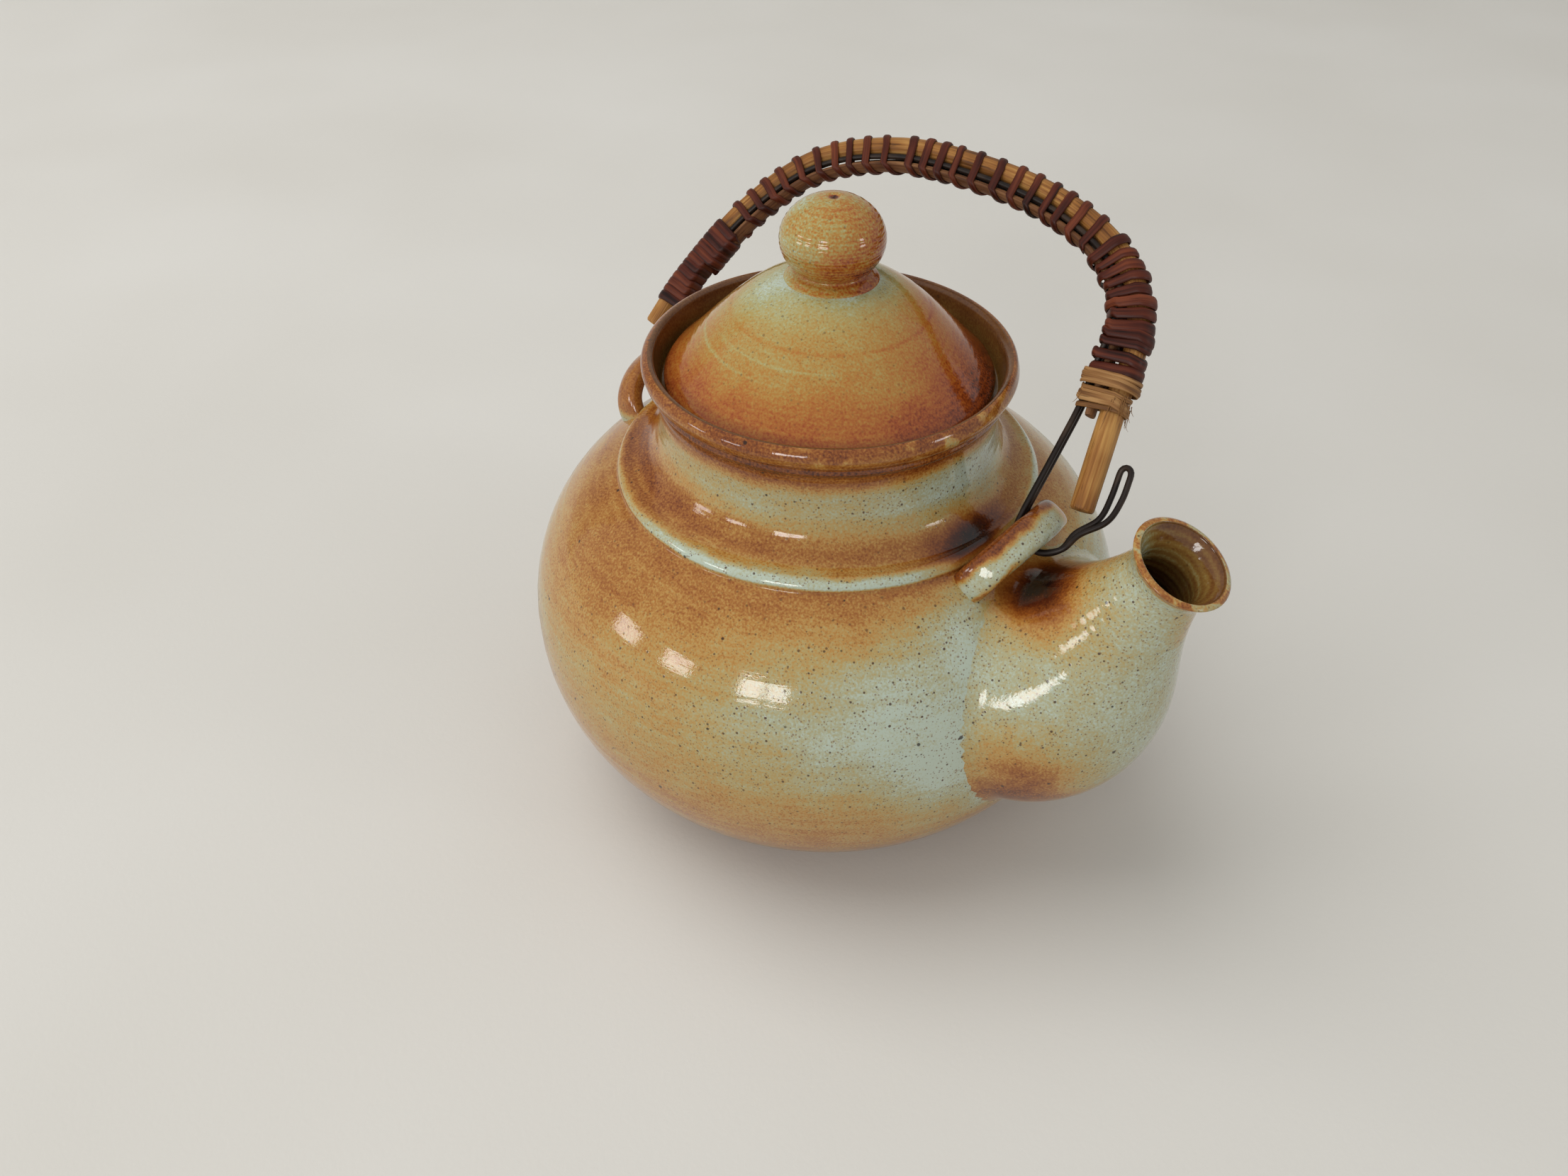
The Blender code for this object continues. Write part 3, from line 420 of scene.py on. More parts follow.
class NodeSheet:
    """A material and its nodes."""

    def __init__(self, name: str, attribute: str | None = None) -> None:
        """Starts a material.

        Args:
            name: the material's name.
            attribute: the point attribute that its patterns follow, or None for Object coordinates.
        """
        self.material = bpy.data.materials.new(name)
        self.material.use_nodes = True
        self.tree = self.material.node_tree
        self.shader = self.tree.nodes["Principled BSDF"]
        if attribute:
            source = self.add("ShaderNodeAttribute", {"attribute_name": attribute}, {})
            self.place = source.outputs["Vector"]
        else:
            self.place = self.add("ShaderNodeTexCoord", {}, {}).outputs["Object"]
        split = self.add("ShaderNodeSeparateXYZ", {}, {0: self.place})
        self.x, self.y, self.z = (Value(self, split.outputs[k]) * 1000.0 for k in range(3))

    def add(self, kind: str, settings: dict, inputs: dict) -> bpy.types.Node:
        """Adds a node.

        Args:
            kind: the node's type.
            settings: its properties, set first; "stops" holds a ramp's (place, colour) pairs.
            inputs: values or links by socket index or name.

        Returns:
            The node.
        """
        node = self.tree.nodes.new(kind)
        for name, value in settings.items():
            if name == "stops":
                stops = node.color_ramp.elements
                for _ in range(len(value) - 2):
                    stops.new(0.5)
                for stop, (position, colour) in zip(stops, value):
                    stop.position, stop.color = position, colour
            else:
                setattr(node, name, value)
        for key, value in inputs.items():
            socket = value.socket if isinstance(value, Value) else value
            if isinstance(socket, bpy.types.NodeSocket):
                self.tree.links.new(socket, node.inputs[key])
            else:
                node.inputs[key].default_value = socket
        return node

    def turn(self) -> Value:
        """Angle about the pot's axis in degrees, 0 at the spout."""
        return self.y._math("ARCTAN2", self.y, self.x) * (180.0 / math.pi)

    def radius(self) -> Value:
        """Distance from the pot's axis in millimetres."""
        return (self.x * self.x + self.y * self.y).root()

    def noise(
        self, size_mm: float, detail: float = 3.0, stretch: tuple[float, float, float] = (1, 1, 1), shift: float = 0.0
    ) -> Value:
        """Cloud noise centred on 0, about -0.35 to 0.35.

        Args:
            size_mm: size of its largest clouds.
            detail: number of finer layers.
            stretch: share of the frequency kept along each axis.
            shift: moves the pattern, so that two noises differ.

        Returns:
            The noise.
        """
        start = (shift, shift * 0.7, shift * 1.3)
        moved = self.add("ShaderNodeMapping", {}, {"Vector": self.place, "Location": start, "Scale": stretch})
        node = self.add(
            "ShaderNodeTexNoise", {}, {"Vector": moved.outputs[0], "Scale": 1000.0 / size_mm, "Detail": detail}
        )
        return Value(self, node.outputs[0]) - 0.5

    def dots(self, cell_mm: float, radius: float, kept: float, shift: float = 0.0) -> Value:
        """Round specks, one in each kept cell of a Voronoi pattern.

        Args:
            cell_mm: mean distance between cells.
            radius: the largest speck's radius as a share of the cell.
            kept: share of the cells that hold a speck.
            shift: moves the pattern.

        Returns:
            1 inside a speck, 0 outside.
        """
        moved = self.add("ShaderNodeMapping", {}, {"Vector": self.place, "Location": (shift, shift, shift)})
        node = self.add("ShaderNodeTexVoronoi", {}, {"Vector": moved.outputs[0], "Scale": 1000.0 / cell_mm})
        chance = self.add("ShaderNodeSeparateColor", {}, {0: node.outputs["Color"]})
        size = Value(self, chance.outputs[0]) * (0.7 * radius) + 0.3 * radius
        speck = ((size - Value(self, node.outputs["Distance"])) / (size * 0.4)).clamped()
        return speck * Value(self, chance.outputs[1]).rise(kept + 0.01, kept - 0.01)

    def ramp(self, value: Value, stops: list[tuple[float, tuple[float, ...]]]) -> bpy.types.NodeSocket:
        """Colours the value by stops of (place, colour)."""
        return self.add("ShaderNodeValToRGB", {"stops": stops}, {0: value}).outputs[0]

    def blend(self, mask: Value, under: Socket | tuple, over: Socket | tuple) -> bpy.types.NodeSocket:
        """Lays one colour over another by a mask."""
        return self.add("ShaderNodeMix", {"data_type": "RGBA"}, {0: mask, 6: under, 7: over}).outputs[2]

    def surface(
        self, colour: Socket, roughness: Value, height: Value, depth_mm: float, **fixed: float
    ) -> bpy.types.Material:
        """Feeds the shader.

        Args:
            colour: the base colour.
            roughness: the roughness.
            height: relief, where 1 stands depth_mm proud.
            depth_mm: height of the relief.
            fixed: constants set on the shader's own sockets, with _ for each space.

        Returns:
            The material.
        """
        bump = self.add("ShaderNodeBump", {}, {"Height": height, "Distance": depth_mm * MM, "Strength": 1.0})
        self.tree.links.new(bump.outputs[0], self.shader.inputs["Normal"])
        self.tree.links.new(colour, self.shader.inputs["Base Color"])
        self.tree.links.new(roughness.socket, self.shader.inputs["Roughness"])
        for name, value in fixed.items():
            self.shader.inputs[name.replace("_", " ")].default_value = value
        return self.material


# ------------------------------------------------------------------------------------------ finishes


class Kiln(Enum):
    """Colours of a glaze from burnt through where it lies thin to where it lies thick."""

    ASH = (
        (0.00, tint(28, 15, 10)), (0.12, tint(74, 31, 13)), (0.26, tint(122, 64, 22)), (0.40, tint(150, 96, 40)),
        (0.53, tint(168, 126, 64)), (0.68, tint(164, 144, 92)), (0.83, tint(160, 158, 126)),
        (1.00, tint(170, 180, 164)),
    )
    HONEY = (
        (0.00, tint(34, 15, 9)), (0.12, tint(104, 42, 16)), (0.26, tint(146, 70, 26)), (0.40, tint(160, 98, 38)),
        (0.53, tint(162, 120, 54)), (0.68, tint(160, 142, 84)), (0.83, tint(158, 158, 118)),
        (1.00, tint(172, 184, 170)),
    )
    OLIVE = (
        (0.00, tint(24, 14, 9)), (0.20, tint(74, 40, 18)), (0.40, tint(104, 66, 30)), (0.60, tint(124, 94, 46)),
        (0.80, tint(142, 132, 88)), (1.00, tint(168, 178, 160)),
    )


@dataclass(frozen=True)
class Glaze:
    """A glossy ash glaze. A piece's own class says how thick it lies over the piece."""

    name: str
    kiln: Kiln = Kiln.ASH
    mottle: float = 0.22
    speck: float = 0.8
    gloss: float = 0.075

    def thickness(self, s: NodeSheet) -> Value:
        """How thick the glaze lies: 0 burnt, 0.3 rust, 0.5 tan, 1 pale."""
        return s.noise(30.0) + 0.55

    def burn(self, s: NodeSheet) -> Value:
        """Where flame has blackened the shoulder round the front lug.

        Args:
            s: the material's sheet.

        Returns:
            1 where it is black, 0 where the glaze is clean.
        """
        x, y, z = s.x + s.noise(11.0, shift=0.3) * 11.0, s.y + s.noise(11.0, shift=0.5) * 11.0, s.z
        shoulder = x.bell(78.5, 12.5) * y.bell(-5.0, 14.5) * z.bell(106.0, 8.0)
        ledge = x.bell(58.5, 7.5) * y.bell(-9.0, 15.0) * z.bell(114.0, 5.0)
        return (shoulder * 1.05 + ledge * 0.95).clamped()

    def grooves(self, s: NodeSheet) -> Value:
        """Fine throwing marks: noise drawn out round the axis."""
        return s.noise(2.4, 4.0, (0.06, 0.06, 1.0), 0.2)

    def dress(self) -> bpy.types.Material:
        """Makes the material.

        Returns:
            The material.
        """
        s = NodeSheet(self.name)
        grooves = self.grooves(s)
        cloud = s.noise(9.0, 5.0, (1.0, 1.0, 0.8), 0.9) * self.mottle
        streak = s.noise(3.2, 4.0, (0.22, 0.22, 1.0), 0.6) * (self.mottle * 0.7)
        fleck = s.noise(0.65, 3.0, (1, 1, 1), 0.4) * (self.mottle * 2.7)
        burn = self.burn(s)
        lay = self.thickness(s) + cloud + streak + fleck + grooves * 0.26
        lay = lay * (1.0 - burn * 0.92) - burn * 0.06
        colour = s.ramp(lay.clamped(), list(self.kiln.value))
        pale = lay.rise(0.25, 0.75) * 0.6 + 0.4
        fine = s.dots(0.8, 0.44, 0.72) * pale * (0.8 * self.speck)
        colour = s.blend(fine, colour, tint(104, 62, 28))
        iron = s.dots(1.8, 0.27, 0.60, 0.5) * pale * (1.1 * self.speck)
        colour = s.blend(iron, colour, tint(62, 34, 18))
        blot = s.dots(5.5, 0.13, 0.50, 0.8) * (1.1 * self.speck)
        colour = s.blend(blot, colour, tint(30, 18, 13))
        rough = s.noise(5.0, 3.0, (1, 1, 1), 0.7) * 0.08 + self.gloss + iron * 0.12
        relief = grooves * 0.6 + s.noise(0.9, 2.0, (1, 1, 1), 0.1) * 0.10 + iron * 0.12 - lay * 0.12
        return s.surface(colour, rough, relief, 0.16, IOR=1.52)


class PotGlaze(Glaze):
    """The pot: tan and rust on the far left, pale beside the spout, banded on the neck; the pale band round the ledge
    and the pale patches on the lip are partly painted highlights.
    """

    def thickness(self, s: NodeSheet) -> Value:
        """By height, then by the side of the pot, with soft wandering edges.

        Args:
            s: the material's sheet.

        Returns:
            The thickness.
        """
        turn = s.turn() + s.noise(38.0, 3.0, (1, 1, 1), 0.15) * 44.0
        z = s.z + s.noise(22.0, 3.0, (1, 1, 1), 0.35) * 20.0
        belly = z.curve((0, 0.42), (20, 0.46), (40, 0.49), (56, 0.55), (68, 0.61), (84, 0.61), (96, 0.56), (108, 0.42))
        pale = turn.bell(-36.0, 25.0) * z.band(62.0, 100.0, 12.0)
        beside = turn.bell(-14.0, 15.0) * z.band(40.0, 104.0, 10.0)
        beside = beside + turn.bell(17.0, 14.0) * z.band(44.0, 100.0, 12.0) * 0.8
        behind = turn.bell(70.0, 45.0) * z.band(50.0, 100.0, 20.0)
        rust = turn.bell(-112.0, 22.0) * z.band(84.0, 106.0, 7.0)
        brown = turn.bell(-150.0, 42.0) * z.band(30.0, 96.0, 16.0)
        belly = belly + pale * 0.34 + beside * 0.36 + behind * 0.3 - rust * 0.10 - brown * 0.02
        height = s.z + s.noise(12.0, 3.0, (0.5, 0.5, 1.0), 0.6) * 2.0
        # The neck by height. Its pale band at 110.7 to 112.1 mm round the ledge's edge is partly pale glaze and partly
        # a painted highlight.
        neck = height.curve(
            (108.0, 0.36), (109.9, 0.46), (110.7, 0.98), (112.1, 0.96), (113.1, 0.46), (114.5, 0.36), (117.5, 0.42),
            (120.5, 0.58), (124.0, 0.74), (129.0, 0.78), (132.0, 0.54), (134.0, 0.34), (137.0, 0.22),
            (139.0, 0.20), (141.0, 0.26), (143.5, 0.34), (147.0, 0.27),
        )
        left = turn.rise(-78.0, -118.0) * height.band(114.0, 134.0, 4.0)
        right = turn.bell(6.0, 34.0) * height.band(115.0, 134.0, 3.0)
        # lip: pale patches on the lip's top near the spout side, partly pale glaze and partly a painted highlight.
        lip = turn.bell(-20.0, 30.0) * height.rise(139.0, 143.0) * s.noise(7.0, 2.0, (1, 1, 1), 0.8).rise(0.0, 0.14)
        # far dims the ledge's pale band, which is partly a painted highlight, on the far left.
        far = turn.rise(-86.0, -128.0) * height.band(110.0, 113.0, 0.8)
        neck = neck - left * 0.10 - far * 0.34 + right * 0.22 + lip * 0.30
        upper = s.z.rise(107.6, 109.4)
        clay = s.z.rise(2.6, 1.4)
        return (belly * (1.0 - upper) + neck * upper) * (1.0 - clay) + clay * 0.45


class InsideGlaze(Glaze):
    """Inside the pot, the gallery and the spout: olive brown, thinner at each edge."""

    def thickness(self, s: NodeSheet) -> Value:
        """Thin at the lip's edge, thicker in the gallery and below."""
        return s.z.curve((0, 0.44), (40, 0.52), (110, 0.46), (128, 0.42), (137, 0.46), (141, 0.44), (147, 0.32))

    def grooves(self, s: NodeSheet) -> Value:
        """Broader marks than outside."""
        return s.noise(4.5, 3.0, (0.05, 0.05, 1.0), 0.2)


class SpoutGlaze(Glaze):
    """The spout: pale, with rust low on its joint, ringed tan towards a rusty mouth."""

    def thickness(self, s: NodeSheet) -> Value:
        """By how far a point is along the mouth's axis, and by patches at the joint.

        Args:
            s: the material's sheet.

        Returns:
            The thickness.
        """
        x = s.x + s.noise(16.0, 3.0, (1, 1, 1), 0.35) * 12.0
        y = s.y + s.noise(16.0, 3.0, (1, 1, 1), 0.55) * 12.0
        z = s.z + s.noise(16.0, 3.0, (1, 1, 1), 0.75) * 8.0
        along = x * 0.428 + s.z * 0.904
        foot = z.bell(64.0, 15.0) * x.bell(94.0, 19.0) * y.bell(-31.0, 15.0)
        under = z.rise(64.0, 50.0)
        throat = along.band(146.0, 160.0, 3.0) * y.rise(-12.0, 4.0)
        rim = (s.x * 0.428 + s.z * 0.904).rise(160.6, 162.4)
        top = x.bell(86.0, 17.0) * z.bell(109.0, 12.0) * y.bell(-4.0, 21.0)
        patch = s.noise(5.0, 2.0, (1, 1, 1), 0.2).rise(0.0, 0.12)
        lay = 0.88 - foot * 0.54 - under * 0.36 - throat * 0.3 - top * 0.42
        return lay - rim * 0.50 * (1.0 - patch * 0.7)

    def grooves(self, s: NodeSheet) -> Value:
        """Throwing marks across the mouth's axis.

        Args:
            s: the material's sheet.

        Returns:
            The marks' height.
        """
        along = s.x * 0.428 + s.z * 0.904
        wave = (along * 3.4 + s.noise(12.0) * 9.0).sine() * along.rise(126.0, 150.0) * 0.10
        return wave + s.noise(2.0, 4.0, (0.30, 1.0, 0.45), 0.2) * 0.8


class ThroatGlaze(Glaze):
    """Inside the spout: ringed honey and rust, paler on one side."""

    def thickness(self, s: NodeSheet) -> Value:
        """Rings across the mouth's axis over a thin rusty edge.

        Args:
            s: the material's sheet.

        Returns:
            The thickness.
        """
        along = s.x * 0.428 + s.z * 0.904
        rings = (along * 2.6 + s.noise(24.0) * 5.0).sine() * 0.08
        pale = (s.x * 0.756 + s.y * 0.654).rise(82.0, 75.0) * along.rise(147.0, 156.0)
        lay = along.curve((100, 0.05), (138, 0.18), (150, 0.50), (158, 0.58), (161, 0.46), (163, 0.40))
        return lay + rings + pale * 0.42


class LugGlaze(Glaze):
    """Both lugs: pale on the face beside the spout with a burnt top, rusty on the far one."""

    def thickness(self, s: NodeSheet) -> Value:
        """Thin along the top and on the side towards the neck.

        Args:
            s: the material's sheet.

        Returns:
            The thickness.
        """
        warp = s.noise(6.0, 4.0, (1, 1, 1), 0.4) * 5.0
        across = s.x * 0.857 - s.z * 0.515 + warp
        front = 0.90 - across.rise(0.4, -3.0) * 0.66 - across.bell(4.6, 0.9) * s.y.rise(-8.0, -14.0) * 0.5
        rear = 0.34 + (s.z + warp).rise(110.0, 105.0) * 0.5
        ahead = s.x.rise(-5.0, 5.0)
        return front * ahead + rear * (1.0 - ahead)

    def burn(self, s: NodeSheet) -> Value:
        """The underside and the far end of the front lug."""
        return s.x.rise(50.0, 60.0) * (s.y.rise(7.0, 16.0) * 0.6 + s.z.rise(113.0, 107.0) * s.y.bell(0.0, 10.0) * 0.8)

    def grooves(self, s: NodeSheet) -> Value:
        """Marks of rolling, along the arch."""
        return s.noise(3.0, 3.0, (1.0, 0.25, 0.25), 0.2)


class LidGlaze(Glaze):
    """The lid: pale at the crown, honey below, rust at the edge and down the side towards the spout."""

    def thickness(self, s: NodeSheet) -> Value:
        """By the distance from the axis, then by the side.

        Args:
            s: the material's sheet.

        Returns:
            The thickness.
        """
        radius = s.radius() + s.noise(9.0, 4.0, (1, 1, 1), 0.2) * 7.0
        turn = s.turn() + s.noise(24.0, 4.0, (1, 1, 1), 0.5) * 60.0
        lay = radius.curve(
            (8.0, 0.96), (12.0, 0.92), (15.0, 0.76), (20.0, 0.66), (26.0, 0.58), (32.0, 0.56), (37.0, 0.46),
            (41.0, 0.36), (45.0, 0.30), (47.0, 0.25),
        )
        ring = s.radius().bell(27.4, 0.45)
        spout_side = turn.rise(-48.0, 28.0) * s.radius().rise(14.0, 27.0)
        patch = turn.bell(-122.0, 30.0) * radius.bell(19.0, 6.0)
        scrape = s.radius().bell(34.6, 0.35) * turn.bell(-128.0, 26.0)
        scrape = scrape + s.radius().bell(31.2, 0.3) * turn.bell(-84.0, 34.0)
        return lay - ring * 0.09 + scrape * 0.16 - spout_side * 0.19 + patch * 0.22

    def grooves(self, s: NodeSheet) -> Value:
        """Throwing rings by the distance from the axis."""
        wave = (s.radius() * 4.6 + s.noise(30.0) * 7.0).sine()
        return wave * (s.radius().rise(20.0, 42.0) * 0.07 + 0.01) + s.noise(1.8, 3.0, (0.5, 0.5, 0.5), 0.2) * 0.5


class KnobGlaze(Glaze):
    """The knob: honey over rust, with a pale spot and a dark mark on top."""

    def thickness(self, s: NodeSheet) -> Value:
        """Thinner towards the spout and under the ball.

        Args:
            s: the material's sheet.

        Returns:
            The thickness.
        """
        z = s.z + s.noise(8.0, 3.0, (1, 1, 1), 0.3) * 6.0
        side = (s.x * 0.8 + s.y * 0.3 + s.noise(7.0, 3.0, (1, 1, 1), 0.7) * 16.0).rise(-3.0, 13.0)
        spot = s.x.bell(-7.0, 4.0) * s.y.bell(-4.0, 4.5) * s.z.bell(185.0, 4.5)
        mark = s.radius().rise(1.6, 0.9) * s.z.rise(185.0, 187.0)
        blotch = s.noise(7.0, 4.0, (0.7, 0.7, 1.6), 0.9) * 0.40
        return blotch - side * 0.30 + 0.62 - z.bell(172.5, 3.5) * 0.16 + spot * 0.3 - mark * 0.5

    def burn(self, s: NodeSheet) -> Value:
        """None here: the flame stayed low."""
        return s.x * 0.0

    def grooves(self, s: NodeSheet) -> Value:
        """Close rings round the ball."""
        return (s.z * 6.5 + s.noise(14.0) * 6.0).sine() * 0.18 + s.noise(1.6, 3.0, (0.3, 0.3, 1.0), 0.2) * 0.7


@dataclass(frozen=True)
class Fibre:
    """Cane or rattan strip: long fibres, satin, with darker runs and pores."""

    name: str
    dark: tuple[float, float, float]
    middle: tuple[float, float, float]
    light: tuple[float, float, float]
    roughness: float = 0.5
    relief_mm: float = 0.12
    grain_mm: float = 0.55

    def dress(self) -> bpy.types.Material:
        """Makes the material: noise drawn out along the unrolled rod, coloured by three stops.

        Returns:
            The material.
        """
        s = NodeSheet(self.name, "straight")
        fine = s.noise(self.grain_mm, 3.0, (1.0, 1.0, 0.03), 0.2)
        broad = s.noise(2.6, 3.0, (1.0, 1.0, 0.06), 0.6)
        patch = s.noise(16.0, 2.0, (0.3, 0.3, 1.0), 0.4)
        shade = (fine * 0.9 + broad * 0.7 + patch * 0.9 + 0.5).clamped()
        colour = s.ramp(shade, [(0.18, tint(*self.dark)), (0.5, tint(*self.middle)), (0.85, tint(*self.light))])
        pore = s.noise(0.8, 2.0, (1.0, 1.0, 0.10), 0.9).rise(0.14, 0.24)
        colour = s.blend(pore * 0.55, colour, tint(*(0.55 * c for c in self.dark)))
        rough = fine * 0.3 + patch * 0.15 + self.roughness
        return s.surface(colour, rough, fine + broad * 0.6 - pore * 0.4, self.relief_mm, IOR=1.33)


@dataclass(frozen=True)
class BlackWire:
    """Annealed iron wire, blackened, with brown worn patches."""

    name: str

    def dress(self) -> bpy.types.Material:
        """Makes the material.

        Returns:
            The material.
        """
        s = NodeSheet(self.name, "straight")
        worn = s.noise(5.0, 4.0, (1, 1, 0.5), 0.3).rise(-0.05, 0.25)
        scratch = s.noise(0.5, 3.0, (1.0, 1.0, 0.06), 0.7)
        colour = s.blend(worn, tint(38, 31, 28), tint(74, 58, 46))
        rough = scratch * 0.3 + worn * 0.1 + 0.40
        return s.surface(colour, rough, scratch, 0.05, Metallic=0.55)


# ------------------------------------------------------------------------------------------ clay pieces


@dataclass
class Pot:
    """The thrown pot: foot, belly, ledge, waisted neck, lip and the gallery that the lid sits in."""

    equator: float = 59.2 * MM
    lower_depth: float = 72.6 * MM
    shoulder_height: float = 62.5 * MM
    fullness: float = 2.35
    wall: float = 5.0 * MM
    ledge_radius: float = 62.3 * MM
    lip_radius: float = 53.0 * MM
    neck_radius: float = 47.0 * MM
    throw_pitch: float = 4.1 * MM
    radius: float = field(init=False)
    lip_height: float = field(init=False)

    def __post_init__(self) -> None:
        """Takes the belly's radius and the lip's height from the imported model."""
        low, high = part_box("pot_body")
        self.radius = (high.y - low.y) / 2.0
        self.lip_height = high.z

    def lower(self, inset: float, lowest: float, count: int) -> Array:
        """Ellipse from the lowest height up to the equator: r = a sin t, z = e - b cos t.

        Args:
            inset: how far inside the outer surface.
            lowest: the height it starts at.
            count: number of points.

        Returns:
            Points (radius, height).
        """
        depth = self.lower_depth - inset
        t = np.linspace(math.acos((self.equator - lowest) / depth), np.pi / 2, count)
        return np.stack([(self.radius - inset) * np.sin(t), self.equator - depth * np.cos(t)], axis=-1)

    def upper(self, inset: float, end_radius: float, count: int) -> Array:
        """Superellipse from the equator in to the end radius: r = a cos^(2/n) t, z = e + b sin^(2/n) t.

        Args:
            inset: how far inside the outer surface.
            end_radius: the radius it ends at.
            count: number of points.

        Returns:
            Points (radius, height).
        """
        power = 2.0 / self.fullness
        a, b = self.radius - inset, self.shoulder_height - inset
        t = np.linspace(0.0, math.acos((end_radius / a) ** (1.0 / power)), count)
        return np.stack([a * np.cos(t) ** power, self.equator + b * np.sin(t) ** power], axis=-1)

    def radius_at(self, height: Array) -> Array:
        """The belly's outer radius at a height."""
        curve = np.vstack([self.lower(0.0, 0.0, 200), self.upper(0.0, self.ledge_radius, 200)])
        return np.interp(height, curve[:, 1], curve[:, 0])

    def belly(self, points: Array) -> tuple[Array, Array]:
        """The belly's surface at these points' heights and angles, and its outward directions there.

        Args:
            points: points near the belly.

        Returns:
            Points on the belly and its outward directions there.
        """
        z, step = points[..., 2], 0.2 * MM
        slope = (self.radius_at(z + step) - self.radius_at(z - step)) / (2 * step)
        across = unit(points[..., :2])
        return (
            np.concatenate([across * self.radius_at(z)[..., None], z[..., None]], axis=-1),
            unit(np.concatenate([across, -slope[..., None]], axis=-1)),
        )

    def outline(self) -> tuple[Array, float]:
        """Outline from the base's middle over the lip to the floor's middle.

        Returns:
            The outline and the distance along it at which the inside starts.
        """
        t = np.linspace(0.0, 1.0, 60)
        shoulder = self.upper(0.0, self.ledge_radius, 160)
        foot = shoulder[-1, 1]
        top = foot + 3.9 * MM
        lip, lip_z, r = self.lip_radius, self.lip_height, self.ledge_radius
        lower = self.lower(0.0, 1.2 * MM, 120)
        neck = [(r - 3.4 * MM, top - 0.2 * MM), (50.5 * MM, top + 1.7 * MM)]
        neck += [(self.neck_radius, top + 10 * MM), (lip - 3.6 * MM, lip_z - 9.6 * MM)]
        outside = np.vstack([
            [(0.0, 0.0), (lower[0, 0] - 1.8 * MM, 0.0)],
            lower,
            shoulder,
            [(r + 0.1 * MM, foot + 1.2 * MM), (r - 0.9 * MM, foot + 2.9 * MM), (r - 2.6 * MM, top)],
            bezier(neck, t),
            [(lip - 2.0 * MM, lip_z - 8.3 * MM), (lip - 2.5 * MM, lip_z - 6.6 * MM)],
            [(lip - 0.7 * MM, lip_z - 5.2 * MM), (lip, lip_z - 2.9 * MM)],
            [(lip - 0.5 * MM, lip_z - 1.0 * MM), (lip - 1.6 * MM, lip_z)],
        ])
        seat, ring = lip_z - 9.0 * MM, lip - 13.0 * MM
        inner_shoulder = self.upper(self.wall, r - self.wall, 120)
        bore = self.neck_radius - 0.85 * self.wall
        throat = [(bore, seat - 9 * MM), (bore, seat - 17 * MM), (bore + 3.2 * MM, inner_shoulder[-1, 1] + 6 * MM)]
        inside = np.vstack([
            [(lip - 2.8 * MM, lip_z), (lip - 3.7 * MM, lip_z - 0.8 * MM), (lip - 5.0 * MM, seat)],
            [(ring + 0.8 * MM, seat), (ring, seat - 1.0 * MM), (ring, seat - 2.2 * MM)],
            bezier([*throat, tuple(inner_shoulder[-1])], t),
            inner_shoulder[::-1],
            self.lower(self.wall, 7.5 * MM, 100)[::-1],
            [(48.2 * MM, 5.5 * MM), (0.0, 5.5 * MM)],
        ])
        return np.vstack([outside, inside]), float(run_length(outside)[-1])

    def strainer_drills(self) -> Array:
        """Centres of the drills behind the spout: rows of four, five and four, staggered.

        Returns:
            The centres (y, z).
        """
        pitch = 9.0 * MM
        rows = [(row, i - (5 - abs(row) - 1) / 2.0) for row in (-1, 0, 1) for i in range(5 - abs(row))]
        return np.array([(place * pitch, self.equator + 11 * MM + row * pitch * 0.866) for row, place in rows])

    def pierce(self, pot: bpy.types.Object) -> None:
        """Cuts the strainer's holes through the wall, each a cylinder along X, and applies the cut.

        Args:
            pot: the turned pot.
        """
        angle = np.linspace(0.0, 2 * np.pi, 24, endpoint=False)
        drills = []
        for n, (y, z) in enumerate(self.strainer_drills()):
            ring = np.stack([0 * angle, y + 2 * MM * np.cos(angle), z + 2 * MM * np.sin(angle)], axis=-1)
            ends = [ring + (self.radius + reach, 0.0, 0.0) for reach in (-17.5 * MM, 7.5 * MM)]
            drills.append(skin(f"drill_{n}", np.stack(ends), Ends.FAN))
        for drill in drills:
            drill.hide_render = True
            cut = pot.modifiers.new(drill.name, "BOOLEAN")
            cut.operation, cut.object, cut.solver = "DIFFERENCE", drill, "EXACT"
        bpy.context.view_layer.update()
        pierced = bpy.data.meshes.new_from_object(pot.evaluated_get(bpy.context.evaluated_depsgraph_get()))
        pot.modifiers.clear()
        pot.data = pierced
        for drill in drills:
            bpy.data.objects.remove(drill, do_unlink=True)

    def build(self, outside: bpy.types.Material, inside: bpy.types.Material) -> None:
        """Throws the pot, with marks that fade from the belly up, and pierces its strainer.

        Args:
            outside: the outer glaze.
            inside: the glaze within.
        """
        outline, turn_in = self.outline()
        share = turn_in / run_length(outline)[-1]
        profile = respaced(outline, 0.45 * MM, 2.2 * MM, 0.45 * MM)
        reach = run_length(profile)
        z = profile[:, 1]
        strength = 0.05 + 0.09 * smooth(z, 20 * MM, 60 * MM) - 0.06 * smooth(z, 98 * MM, 106 * MM)
        offset = strength * MM * (1 + 0.6 * wander(4, reach, 9 * MM))
        ripple = np.stack([offset, reach / self.throw_pitch * 2 * np.pi], axis=-1)
        ripple[(z < 3 * MM) & (reach < 0.1), 0] = 0.0
        inner_from = int(np.searchsorted(reach, share * reach[-1]))
        pot = turned("thrown_pot", profile, 216, ripple, 0.0015, inner_from)
        pot.data.materials.append(outside)
        pot.data.materials.append(inside)
        self.pierce(pot)
        place_piece(pot, "pot", [], ("pot_body",))


